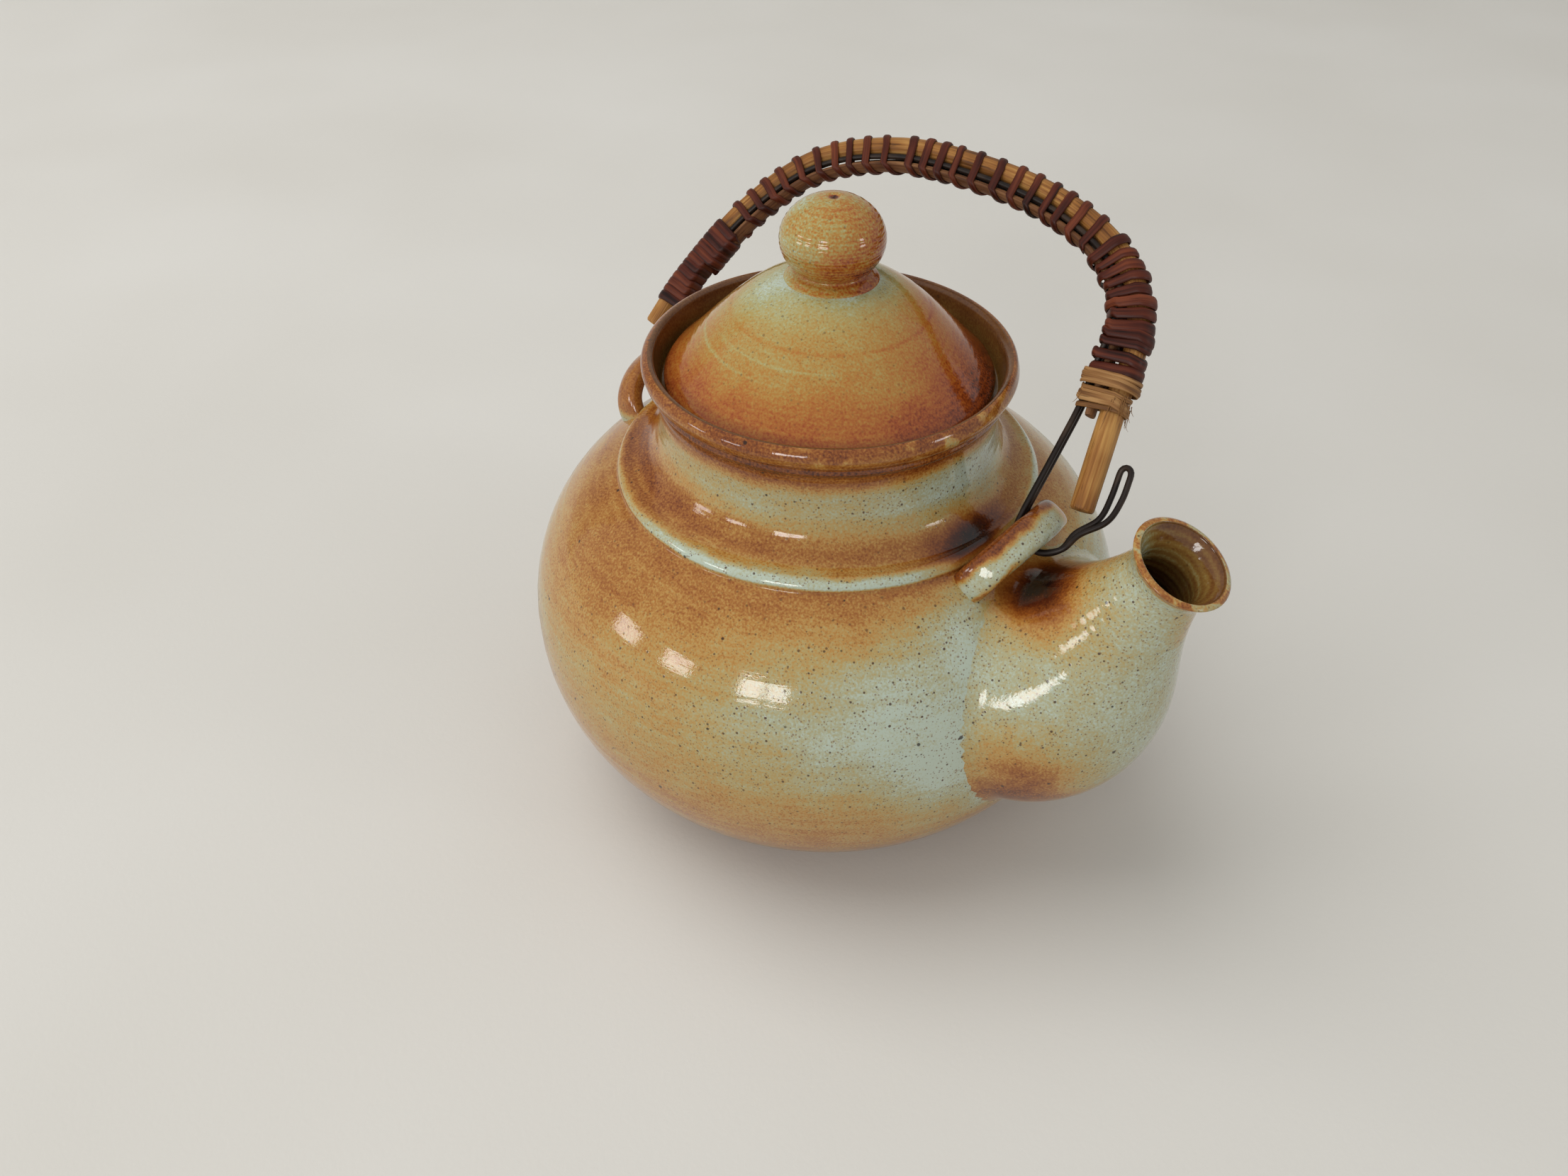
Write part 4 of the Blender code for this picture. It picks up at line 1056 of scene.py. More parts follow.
@dataclass
class Spout:
    """The spout: a bulb that draws in to a throat and turns out to a rolled mouth, luted to the pot."""

    pot: Pot
    tilt: float = math.radians(64.65)
    mouth_radius: float = 13.9 * MM
    throat_radius: float = 9.6 * MM
    flare_length: float = 9.0 * MM
    wall: float = 3.6 * MM
    sides: int = 144
    mouth: Array = field(init=False)

    def __post_init__(self) -> None:
        """Takes the mouth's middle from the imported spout's highest and farthest reach."""
        _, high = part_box("spout")
        reach = self.mouth_radius * np.array([math.sin(self.tilt), math.cos(self.tilt)])
        self.mouth = np.array([high.x, high.z]) - reach

    def axis(self, t: Array) -> tuple[Array, Array]:
        """Bezier axis in the XZ plane and its directions, which end along the mouth's own axis.

        Args:
            t: places on the axis, 0 to 1.

        Returns:
            Points (x, z) and unit directions.
        """
        pull = 43.0 * MM * np.array([math.cos(self.tilt), math.sin(self.tilt)])
        root = (self.pot.radius - 25.5 * MM, self.pot.equator + 5.3 * MM)
        heel = (self.pot.radius + 1.7 * MM, self.pot.equator + 20.6 * MM)
        controls = [root, heel, tuple(self.mouth - pull), tuple(self.mouth)]
        return bezier(controls, t), unit(bezier(controls, t + 1e-4) - bezier(controls, t - 1e-4))

    def surface(self, t: Array, angle: Array, inset: Array | float) -> tuple[Array, Array]:
        """Points of the spout: axis + radius (cos a Y + sin a n), n square to the axis and Y.

        The radius is a Bezier curve of t plus a quadratic flare over the last stretch before the mouth.

        Args:
            t: places on the axis, one for each point.
            angle: angle round the axis, one for each point.
            inset: how far under the outer surface.

        Returns:
            Points and directions away from the axis.
        """
        centre, direction = self.axis(t)
        radius = bezier([(36.0,), (48.0,), (15.0,), (self.throat_radius / MM,)], t)[..., 0] * MM
        to_mouth = np.linalg.norm(self.mouth - centre, axis=-1)
        flare = (self.mouth_radius - self.throat_radius) * np.clip(1 - to_mouth / self.flare_length, 0, 1) ** 2
        upward = np.stack([-direction[..., 1], 0 * t, direction[..., 0]], axis=-1)
        away = np.cos(angle)[..., None] * np.array([0.0, 1.0, 0.0]) + np.sin(angle)[..., None] * upward
        middle = np.stack([centre[..., 0], 0 * t, centre[..., 1]], axis=-1)
        return middle + (radius + flare - inset)[..., None] * away, away

    def joint(self, angle: Array, inset: float) -> Array:
        """For each angle, the last place on the axis at which the surface comes out of the pot's belly.

        Args:
            angle: angles round the axis.
            inset: how far under the outer surface.

        Returns:
            The place on the axis at each angle.
        """
        t = np.linspace(0.0, 0.98, 800)
        places, _ = self.surface(*np.meshgrid(t, angle, indexing="ij"), inset)
        outside = np.hypot(places[..., 0], places[..., 1]) - self.pot.radius_at(places[..., 2])
        inside_last = len(t) - 1 - np.argmax((outside < 0)[::-1], axis=0)
        return t[inside_last]

    def fillet(self, start: Array, angle: Array, size: float) -> tuple[Array, Array]:
        """Clay smoothed into the joint: quadratic Beziers from the belly, by the joint line, onto the spout.

        Args:
            start: place on the axis of the joint at each angle.
            angle: angles round the axis.
            size: how far the clay runs on each surface.

        Returns:
            The rings and the places on the axis at which they end.
        """
        joint, away = self.surface(start, angle, 0.0)
        _, normal = self.pot.belly(joint)
        spread = unit(away - normal * (away * normal).sum(-1, keepdims=True))
        landing, normal = self.pot.belly(joint + size * spread)
        landing = landing - 0.3 * MM * normal
        speed = np.linalg.norm(self.surface(start + 0.01, angle, 0.0)[0] - joint, axis=-1) / 0.01
        end = start + size / speed
        w = np.linspace(0.0, 1.0, 12)[:-1, None, None]
        rings = (1 - w) ** 2 * landing + 2 * w * (1 - w) * joint + w**2 * self.surface(end, angle, 0.0)[0]
        return rings, end

    def build(self, outside: bpy.types.Material, inside: bpy.types.Material) -> None:
        """Skins the spout outside, round the mouth's rim and back down the inside.

        Args:
            outside: the outer glaze.
            inside: the glaze within.
        """
        angle = np.linspace(0.0, 2 * np.pi, self.sides, endpoint=False)
        start_in = self.joint(angle, self.wall)
        blend, start = self.fillet(self.joint(angle, 0.0), angle, 5.0 * MM)
        u = np.linspace(0.0, 1.0, 110)[:, None]
        u = 0.55 * u + 0.45 * (0.5 - 0.5 * np.cos(np.pi * u))
        grid = np.broadcast_to(angle, (len(u), self.sides))
        t = start + (0.992 - start) * u
        points, away = self.surface(t, grid, 0.0)
        wave = 0.035 * MM * smooth(t, 0.6, 0.85) * np.cos(t * 210.0 + angle)
        outer = np.concatenate([blend, points + wave[..., None] * away])
        turn = np.linspace(0.0, np.pi, 14)[1:-1, None]
        rim_half = 1.15 * MM
        rim_inset = rim_half * (1 - np.cos(turn)) + 0 * angle
        rim_t = 0.992 + 0.012 * np.sin(turn) + 0 * angle
        rim = self.surface(rim_t, np.broadcast_to(angle, rim_t.shape), rim_inset)[0]
        v = np.linspace(0.0, 1.0, 70)[:, None]
        t_in = 0.992 + (start_in + 0.012 - 0.992) * v
        thick = 2 * rim_half + (self.wall - 2 * rim_half) * smooth(v, 0.0, 0.25)
        marks = 0.12 * MM * smooth(v, 0.02, 0.1) * np.cos(t_in * 150.0 + angle)
        inner = self.surface(t_in, np.broadcast_to(angle, t_in.shape), thick + marks)[0]
        rings = np.concatenate([outer, rim, inner])
        made = skin("thrown_spout", rings, Ends.LOOP, inner_from=len(outer) + len(rim) // 2)
        place_piece(made, "pot", [outside, inside], ("spout",))


@dataclass
class Lug:
    """A strap of rolled clay bent into an arch that leans away from the neck, its feet on the shoulder."""

    node: str
    side: int
    half_span: float = 18.0 * MM
    rise: float = 12.5 * MM
    lean: float = math.radians(31.0)
    half_width: float = 4.8 * MM
    half_thickness: float = 3.0 * MM
    buried: float = 5.0 * MM

    def path(self) -> tuple[Array, Array]:
        """The arch (y, h) with y = -w cos a, h = k sin a and straight feet, evened and rounded, and its lengths.

        Returns:
            The points (y, h) and their distances along the arch.
        """
        a = np.linspace(0.0, np.pi, 70)
        arch = np.stack([-self.half_span * np.cos(a), self.rise * np.sin(a)], axis=-1)
        line = np.vstack([[(-self.half_span, -self.buried)], arch, [(self.half_span, -self.buried)]])
        length = run_length(line)
        even = np.linspace(0.0, length[-1], 120)
        line = np.stack([np.interp(even, length, line[:, k]) for k in range(2)], axis=-1)
        padded = np.vstack([line[:1].repeat(2, 0), line, line[-1:].repeat(2, 0)])
        return np.stack([np.convolve(padded[:, k], np.ones(5) / 5, "valid") for k in range(2)], axis=-1), even

    def build(self, glaze: bpy.types.Material) -> None:
        """Sweeps a rounded strap over the arch.

        The section is the superellipse |cos|^0.72, |sin|^0.72 above and an oval below, dented by noise.

        Args:
            glaze: the lug's finish.
        """
        low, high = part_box(self.node)
        c, s = math.cos(self.lean), math.sin(self.lean)
        up, across = np.array([self.side * s, 0.0, c]), np.array([c, 0.0, -self.side * s])
        reach = math.hypot(self.half_width * c, self.half_thickness * s)
        crown = np.array([self.side * (max(high.x, -low.x) - reach + 0.1 * MM), 0.0, high.z])
        crown[2] -= math.hypot(self.half_width * s, self.half_thickness * c)
        line, even = self.path()
        heading = unit(np.gradient(line, axis=0))
        centre = crown - self.rise * up + line[:, :1] * np.array([0.0, 1.0, 0.0]) + line[:, 1:] * up
        out = -heading[:, 1:] * np.array([0.0, 1.0, 0.0]) + heading[:, :1] * up
        press = 1.0 - smooth(np.minimum(even, even[-1] - even), 3.0 * MM, 12.0 * MM)
        angle = np.linspace(0.0, 2 * np.pi, 64, endpoint=False)
        power = np.where(np.sin(angle) > 0, 0.72, 1.0)
        wide = np.sign(np.cos(angle)) * np.abs(np.cos(angle)) ** power
        tall = np.sign(np.sin(angle)) * np.abs(np.sin(angle)) ** power
        dent = 1.0 + 0.02 * np.sin(3 * angle[None, :] + 2.2 * wander(11, even, 8 * MM)[:, None])
        width = (self.half_width * (1.0 + 0.02 * press)[:, None] * wide * dent)[..., None]
        thick = (self.half_thickness * (1.0 + 0.04 * press)[:, None] * tall * dent)[..., None]
        rings = centre[:, None, :] + width * across + thick * out[:, None, :]
        made = skin(f"pulled_{self.node}", rings, Ends.FAN)
        place_piece(made, "pot", [glaze], (self.node,))


@dataclass
class Lid:
    """The bell shaped lid with its flange, and the ball knob luted on it."""

    edge_thickness: float = 3.6 * MM
    crown_radius: float = 9.5 * MM
    flange_radius: float = 38.6 * MM
    flange_thickness: float = 3.2 * MM
    wall: float = 4.6 * MM
    knob_half_height: float = 11.5 * MM
    lid_pitch: float = 2.3 * MM
    knob_pitch: float = 1.6 * MM

    def build_lid(self, outside: bpy.types.Material, inside: bpy.types.Material) -> None:
        """Turns the lid: a Bezier bell outside, a rounded edge, the flange, and a Bezier bell inside.

        Args:
            outside: the outer glaze.
            inside: the glaze beneath.
        """
        low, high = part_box("lid")
        crown, edge = high.z, high.y
        seat = low.z + 8.0 * MM
        top = seat + self.edge_thickness
        flange, run = self.flange_radius, edge - self.crown_radius
        t = np.linspace(0.0, 1.0, 120)
        bell = [(self.crown_radius, crown), (self.crown_radius + 0.40 * run, crown - 2.5 * MM)]
        bell += [(self.crown_radius + 0.65 * run, crown - 16.5 * MM), (edge - 0.8 * MM, top)]
        hollow = [(flange - 4.6 * MM, seat + 4 * MM), (self.crown_radius + 0.52 * run, crown - 17 * MM)]
        hollow += [(self.crown_radius + 0.28 * run, crown - self.wall - 2 * MM), (self.crown_radius, crown - self.wall)]
        rolled = [(edge, top - 1.2 * MM), (edge - 0.4 * MM, seat + 0.4 * MM)]
        outer = np.vstack([[(0.0, crown)], bezier(bell, t), rolled])
        under = np.vstack([
            [(edge - 1.2 * MM, seat), (flange, seat), (flange - 0.3 * MM, low.z + 0.8 * MM)],
            [(flange - 1.2 * MM, low.z), (flange - self.flange_thickness, low.z + 0.4 * MM)],
            [(flange - self.flange_thickness - 0.4 * MM, seat)],
            bezier(hollow, t),
            [(0.0, crown - self.wall)],
        ])
        profile = respaced(np.vstack([outer, under]), 0.4 * MM, 1.1 * MM, 0.35 * MM)
        reach = run_length(profile)
        split = run_length(outer)[-1] / run_length(np.vstack([outer, under]))[-1] * reach[-1]
        groove = -0.22 * MM * np.exp(-(((profile[:, 0] - 27.2 * MM) / (0.45 * MM)) ** 2)) * (reach < split)
        profile[:, 1] += groove
        strength = (0.02 + 0.05 * smooth(profile[:, 0], 22 * MM, 44 * MM)) * MM * (1 + 0.7 * wander(8, reach, 5 * MM))
        offset = strength * smooth(profile[:, 0], 2 * MM, 12 * MM)
        ripple = np.stack([offset, reach / self.lid_pitch * 2 * np.pi], axis=-1)
        made = turned("thrown_lid", profile, 200, ripple, 0.001, int(np.searchsorted(reach, split)))
        place_piece(made, "lid", [outside, inside], ("lid",))

    def build_knob(self, glaze: bpy.types.Material) -> None:
        """Turns the knob: a foot that spreads on the lid, then an ellipse r = a sin t, z = c - b cos t.

        Args:
            glaze: the knob's finish.
        """
        low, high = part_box("knob")
        radius, half = high.y, self.knob_half_height
        centre = high.z - half
        lid_top = low.z - 0.3 * MM
        t = np.linspace(math.asin(9.9 * MM / radius), np.pi, 120)
        ball = np.stack([radius * np.sin(t), centre - half * np.cos(t)], axis=-1)
        ball[-8:, 1] -= np.linspace(0.0, 0.7, 8) ** 0.5 * MM * 0.8
        foot = [(0.0, lid_top - 1.0 * MM), (13.2 * MM, lid_top - 0.9 * MM), (11.2 * MM, lid_top + 0.35 * MM)]
        foot += [(9.9 * MM, lid_top + 1.0 * MM), (9.5 * MM, lid_top + 1.7 * MM)]
        profile = respaced(np.vstack([foot, ball]), 0.3 * MM, 0.8 * MM, 0.3 * MM)
        reach = run_length(profile)
        offset = 0.035 * MM * smooth(reach, 14 * MM, 18 * MM)
        ripple = np.stack([offset, reach / self.knob_pitch * 2 * np.pi], axis=-1)
        made = turned("thrown_knob", profile, 128, ripple, 0.003, len(profile))
        place_piece(made, "lid", [glaze], ("knob",))


# ------------------------------------------------------------------------------------------ bail handle


@dataclass
class Bail:
    """The bail's own frame and sizes: distance along the outer cane, outwards from it, and to its side."""

    cane_radius: float = 3.0 * MM
    end_radius: float = 3.3 * MM
    inner_offset: float = -5.8 * MM
    inner_half_width: float = 2.7 * MM
    inner_half_thickness: float = 1.3 * MM
    wire_radius: float = 0.85 * MM
    wire_side: float = 2.1 * MM
    strand_half_gap: float = 1.0 * MM
    rear_wrap: tuple[float, float] = (6.5 * MM, 40.5 * MM)
    binding_length: float = 8.0 * MM
    binding_from_end: float = 27.0 * MM
    front_wrap_length: float = 44.0 * MM
    half_spread: float = 78.85 * MM
    cut_height: float = 14.5 * MM
    pivot: float = field(init=False)
    lean: float = field(init=False)
    length: float = field(init=False)
    line: Array = field(init=False)
    reach: Array = field(init=False)
    heading: Array = field(init=False)
    binding: tuple[float, float] = field(init=False)
    front_wrap: tuple[float, float] = field(init=False)

    def __post_init__(self) -> None:
        """Finds the hinge in the record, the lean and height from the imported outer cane, and lays out the arch."""
        swing = next(joint for joint in frame["joints"] if joint["name"] == "handle_swing")
        self.pivot = swing["pos_m"][2]
        _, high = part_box("outer_cane")
        crown = (high.y - self.cane_radius, high.z - self.cane_radius - self.pivot)
        self.lean = math.atan2(crown[0], crown[1])
        rise, low = math.hypot(*crown), self.cut_height
        shape = [
            (-1.020, -0.02), (-0.976, 0.21), (-0.849, 0.556), (-0.634, 0.83), (-0.304, 0.972), (0.076, 1.0),
            (0.444, 0.959), (0.735, 0.834), (0.894, 0.619), (0.944, 0.326), (1.0, 0.0),
        ]
        self.line = smooth_line([(self.half_spread * x, low + (rise - low) * z) for x, z in shape], 60)
        self.reach = run_length(self.line)
        self.length = float(self.reach[-1])
        self.heading = unit(np.gradient(self.line, axis=0))
        self.binding = (self.length - self.binding_from_end - self.binding_length, self.length - self.binding_from_end)
        self.front_wrap = (self.binding[0] - 0.3 * MM - self.front_wrap_length, self.binding[0] - 0.3 * MM)

    def tilt(self, points: Array) -> Array:
        """Leans points of the bail's upright frame back about the hinge.

        Args:
            points: points of the upright frame, its origin on the hinge.

        Returns:
            The leaning points.
        """
        c, s = math.cos(self.lean), math.sin(self.lean)
        x, y, z = np.moveaxis(points, -1, 0)
        return np.stack([x, y * c + z * s, self.pivot - y * s + z * c], axis=-1)

    def place(self, distance: Array, outward: Array, side: Array) -> Array:
        """Points at a distance along the outer cane, an offset outwards and an offset to the side.

        Args:
            distance: distance along the outer cane.
            outward: offset away from the hinge.
            side: offset to the side.

        Returns:
            The points.
        """
        x, z, u, w = (
            np.interp(distance, self.reach, column)
            for column in (self.line[:, 0], self.line[:, 1], self.heading[:, 0], self.heading[:, 1])
        )
        size = np.hypot(u, w)
        past = distance - np.clip(distance, 0.0, self.length)
        across = x - w / size * outward + u * past
        height = z + u / size * outward + w * past
        return self.tilt(np.stack([across, side + 0 * x, height], axis=-1))

    def outer_radius(self, distance: Array) -> Array:
        """The outer cane is a little stouter towards its ends."""
        from_middle = abs(distance / self.length - 0.5) * 2
        return self.cane_radius + (self.end_radius - self.cane_radius) * smooth(from_middle, 0.5, 0.9)

    def wire_at(self, distance: Array) -> tuple[Array, Array]:
        """Outward and side offsets of the strands: in the grooves, then drawn in at both wraps.

        Args:
            distance: distance along the outer cane.

        Returns:
            The outward offset and the side offset.
        """
        front = smooth(distance, self.binding[0] - 28 * MM, self.binding[0])
        share = np.clip((distance - self.binding[0] + 28 * MM) / (28 * MM), 0, 1)
        middle = self.rear_wrap[0] + 0.5 * (self.rear_wrap[1] - self.rear_wrap[0])
        rear = 1.0 - smooth(distance, self.rear_wrap[0], middle)
        groove = -math.sqrt((self.cane_radius + self.wire_radius + 0.3 * MM) ** 2 - self.wire_side**2)
        side = self.wire_side + (self.strand_half_gap - self.wire_side) * np.maximum(front, rear)
        return groove - 5.3 * MM * front - 2.6 * MM * rear, side + 2.6 * MM * np.sin(np.pi * share) ** 2

    def hull(self, distance: Array, angle: Array, grow: Array | float) -> tuple[Array, Array]:
        """Side and outward offsets of the taut line round the canes and strands, grown outwards.

        For an oval with half axes p, q the point with normal angle a is (p^2 cos a, q^2 sin a) / h, where
        h = sqrt((p cos a)^2 + (q sin a)^2). The oval that reaches farthest along the normal is taken.

        Args:
            distance: distance along the outer cane.
            angle: angle of the line's normal.
            grow: how far outside the taut line.

        Returns:
            The side offset and the outward offset.
        """
        c, s = np.cos(angle), np.sin(angle)
        outward, side = self.wire_at(distance)
        radius = self.outer_radius(distance)
        inner = (distance > self.rear_wrap[0] + 20 * MM) & (distance < self.binding[1])
        ovals = [(0 * c, 0 * c, radius, radius)]
        offset = np.where(inner, self.inner_offset, 0.0)
        half = [np.where(inner, size, 1e-6) for size in (self.inner_half_width, self.inner_half_thickness)]
        ovals.append((0 * c, offset, *half))
        wire = self.wire_radius + 0 * c
        ovals += [(side, outward, wire, wire), (-side, outward, wire, wire)]
        x0, y0, p, q = (np.stack(part) for part in zip(*ovals))
        h = np.sqrt((p * c) ** 2 + (q * s) ** 2)
        best = np.argmax(x0 * c + y0 * s + h, axis=0)[None]
        x = np.take_along_axis(x0 + p**2 * c / h, best, 0)[0]
        y = np.take_along_axis(y0 + q**2 * s / h, best, 0)[0]
        return x + grow * c, y + grow * s


@dataclass
class Cane:
    """A cane rod on the bail, with fibres and a hewn end at each side."""

    bail: Bail
    name: str
    node: str
    slot: str
    span: tuple[float, float]
    outward: float
    half_side: float
    half_out: float
    ribs: float = 0.02
    seed: int = 1

    def build(self, finish: bpy.types.Material) -> None:
        """Skins the rod.

        The radius is 1 + the sum over k of waves cos(k a + phase(distance)), which drift slowly along the
        cane, and the last ring at each end is drawn in and roughened by noise.

        Args:
            finish: the cane's finish.
        """
        sides = 72
        distance = np.linspace(*self.span, int((self.span[1] - self.span[0]) / (0.9 * MM)))
        lead = np.array([0.0, 0.05, 0.2, 0.5]) * MM
        distance = np.concatenate([self.span[0] + lead, distance[1:-1], self.span[1] - lead[::-1]])
        angle = np.linspace(0.0, 2 * np.pi, sides, endpoint=False)
        swell = np.ones((len(distance), sides))
        for n, k in enumerate((2, 5, 8, 13, 19)):
            drift = wander(self.seed + n, distance, 30 * MM)[:, None] * 1.6
            swell += self.ribs / (1 + 0.5 * n) * np.cos(k * angle + drift + 1.7 * n)
        from_end = np.minimum(distance - self.span[0], self.span[1] - distance)
        swell *= (1.0 - 0.10 * (1 - smooth(from_end, 0.0, 0.6 * MM)))[:, None]
        stout = self.bail.outer_radius(distance) / self.bail.cane_radius if self.outward == 0 else 1 + 0 * distance
        a = self.half_side * stout[:, None] * swell * np.cos(angle)
        b = self.half_out * stout[:, None] * swell * np.sin(angle)
        depth = np.broadcast_to(distance[:, None], a.shape)
        caps = []
        for edge, sign in ((0, 1.0), (-1, -1.0)):
            shares = np.array([0.8, 0.55, 0.28])[:, None]
            rough = wander(self.seed + 20, angle * 5 * MM, 3 * MM) - 0.6
            chip = 0.35 * MM * rough * (1 - shares) - 0.25 * MM * (1 - shares)
            caps.append((a[edge] * shares, b[edge] * shares, depth[edge] - sign * chip))
        a = np.concatenate([caps[0][0][::-1], a, caps[1][0]])
        b = np.concatenate([caps[0][1][::-1], b, caps[1][1]])
        depth = np.concatenate([caps[0][2][::-1], depth, caps[1][2]])
        rings = self.bail.place(depth, b + self.outward, a)
        made = skin(self.name, rings, Ends.FAN, {"straight": np.stack([a, b, depth], axis=-1)})
        place_piece(made, "handle", [finish], (self.node,))


@dataclass
class Winding:
    """A flat strip wound round the bail's canes and strands."""

    bail: Bail
    name: str
    slot: str
    nodes: tuple[str, ...]
    span: tuple[float, float]
    turns: int
    width: float
    thickness: float = 0.8 * MM
    lift: float = 0.08 * MM
    loose: float = 0.0
    slant: float = 0.0
    uneven: float = 0.0
    first_angle: float = -math.pi / 2
    seed: int = 1

    def build(self, finish: bpy.types.Material) -> None:
        """Skins the strip.

        At turn u the strip is at distance d(u) = start + length (u + noise) / turns plus a slant by sin a,
        and its middle is on the taut line with normal angle 2 pi u. Its section is a flattened superellipse
        with a crowned back, whose width wanders a little.

        Args:
            finish: the strip's finish.
        """
        per_turn, sides = 44, 14
        u = np.linspace(0.0, self.turns, self.turns * per_turn + 1)
        angle = self.first_angle + 2 * np.pi * u
        inside = smooth(u, 0.0, 1.0) * (1 - smooth(u, self.turns - 1.0, self.turns))
        drift = self.uneven * wander(self.seed, u, 1.35) * inside
        start = self.span[0] + 0.5 * self.width
        length = self.span[1] - self.span[0] - self.width
        middle = start + length * (u + drift) / self.turns + self.slant * np.sin(angle) * inside
        middle = np.clip(middle, self.span[0] + 0.4 * self.width, self.span[1] - 0.4 * self.width)
        half = 0.5 * self.width * (1.0 + 0.12 * wander(self.seed + 1, u, 0.9))
        lift = self.lift + self.loose * (0.5 + 0.5 * wander(self.seed + 2, u, 0.8)) * inside
        turn = np.linspace(0.0, 2 * np.pi, sides, endpoint=False)
        flat = np.sign(np.cos(turn)) * np.abs(np.cos(turn)) ** 0.55
        back = 0.5 + 0.5 * np.sign(np.sin(turn)) * np.abs(np.sin(turn)) ** 0.6
        taper = 0.15 + 0.85 * np.minimum(smooth(u, 0.0, 0.12), 1 - smooth(u, self.turns - 0.12, self.turns))
        across = np.multiply.outer(half * taper, flat)
        up = np.multiply.outer(self.thickness * (0.4 + 0.6 * taper), back * (0.5 + 0.5 * (1 - flat**2) ** 0.6))
        side, outward = self.bail.hull(middle[:, None] + 0 * across, angle[:, None] + 0 * across, lift[:, None] + up)
        rings = self.bail.place(middle[:, None] + across, outward, side)
        reach = run_length(rings.mean(1))[:, None] + 0 * across
        made = skin(self.name, rings, Ends.FAN, {"straight": np.stack([across, up, reach + self.seed], axis=-1)})
        place_piece(made, "handle", [finish], self.nodes)


@dataclass
class HookWire:
    """One wire bent double: two strands along the canes and a hook through each lug."""

    bail: Bail

    def hook(self, route: list[tuple[float, float, float]], sign: float) -> tuple[Array, Array]:
        """The two strands of a hook, from the canes to its closed end.

        The strands stand half a step each side of the route. The step is to the side at first, and turns to
        lie along X and widens where the hook opens.

        Args:
            route: the hook's middle line in the bail's upright frame.
            sign: +1 at the front, -1 at the rear.

        Returns:
            The strands.
        """
        centre = smooth_line(route, 14)
        share = np.linspace(0.0, 1.0, len(centre))
        turn = smooth(share, 0.45, 0.85) * math.radians(75.0)
        half = self.bail.strand_half_gap + 0.75 * MM * smooth(share, 0.7, 0.95)
        step = np.stack([sign * half * np.sin(turn), -half * np.cos(turn), 0 * half], axis=-1)
        return centre + step, centre - step

    @staticmethod
    def closed_end(first: Array, second: Array) -> Array:
        """The half circle that joins two strands.

        Args:
            first: one strand, ending at the bend.
            second: the other.

        Returns:
            The points between the strands' ends.
        """
        ahead = unit(first[-1] - first[-2])
        middle, out = (first[-1] + second[-1]) / 2, (first[-1] - second[-1]) / 2
        angle = np.linspace(0.0, np.pi, 20)[1:-1, None]
        return middle + out * np.cos(angle) + ahead * np.linalg.norm(out) * np.sin(angle)

    def build(self, finish: bpy.types.Material) -> None:
        """Sweeps the wire round its whole loop.

        Args:
            finish: the wire's finish.
        """
        b = self.bail
        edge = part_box("front_lug")[1].x + 0.19 * MM
        lug_x = edge - 4.39 * MM
        leg, turn_x = lug_x - 4.39 * MM - b.wire_radius - 1.15 * MM, edge + 3.6 * MM
        clear = b.end_radius + 0.3 * MM + b.wire_radius
        end_x = edge + 0.4 * MM + b.end_radius
        front_route = [
            (leg + 0.8 * MM, 0, 36 * MM), (leg + 0.4 * MM, 0, 21 * MM), (leg, 0, 7 * MM), (leg + 0.9 * MM, 0, 2 * MM),
            (lug_x - 1.5 * MM, 0, 0), (lug_x + 3.5 * MM, 0, 0), (turn_x, 0, 3.2 * MM),
            (turn_x + 1.6 * MM, 0.6 * MM, 8.5 * MM), (end_x + clear + 1.3 * MM, 1.6 * MM, 14.5 * MM),
            (end_x + clear + 1.7 * MM, 2.2 * MM, 21 * MM), (end_x + clear + 1.0 * MM, 1.6 * MM, 28 * MM),
        ]
        rear_route = [
            (-lug_x + 0.2 * MM, 0, 17.3 * MM), (-leg - 1.1 * MM, 0, 14.6 * MM), (-leg, 0, 9.5 * MM),
            (-leg, 0, 5 * MM), (-leg - 0.9 * MM, 0, 1.6 * MM), (-lug_x + 1.5 * MM, 0, 0), (-lug_x - 3.5 * MM, 0, 0),
            (-turn_x, 0.8 * MM, 3.2 * MM), (-turn_x - 0.6 * MM, clear - 0.3 * MM, 9.5 * MM),
            (-end_x - 1.2 * MM, clear + 0.4 * MM, 16 * MM),
        ]
        front, rear = self.hook(front_route, 1.0), self.hook(rear_route, -1.0)
        distance = np.linspace(b.rear_wrap[0] - 1.2 * MM, b.binding[1] - 1.0 * MM, 260)
        outward, side = b.wire_at(distance)
        near, far = b.place(distance, outward, -side), b.place(distance, outward, side)
        loop = np.vstack([
            b.tilt(rear[0])[::-1], near, b.tilt(front[0]), b.tilt(self.closed_end(*front)),
            b.tilt(front[1])[::-1], far[::-1], b.tilt(rear[1]), b.tilt(self.closed_end(rear[1], rear[0])),
        ])
        loop = self.evened(loop, 0.8 * MM)
        radius = np.full(len(loop), b.wire_radius)
        across = np.array([0.0, math.cos(b.lean), -math.sin(b.lean)])
        made = sweep("hook_wire", loop, radius, radius, 18, Ends.LOOP, across)
        place_piece(made, "handle", [finish], ("handle_wire",))

    @staticmethod
    def evened(loop: Array, step: float) -> Array:
        """Spaces a closed loop evenly and takes each point as the mean of its neighbours, to round its joins.

        Args:
            loop: points of the loop.
            step: the spacing wanted.

        Returns:
            The evened points.
        """
        closed = np.vstack([loop, loop[:1]])
        reach = run_length(closed)
        even = np.linspace(0.0, reach[-1], int(reach[-1] / step), endpoint=False)
        line = np.stack([np.interp(even, reach, closed[:, k]) for k in range(3)], axis=-1)
        return (np.roll(line, 1, axis=0) + 2 * line + np.roll(line, -1, axis=0)) / 4


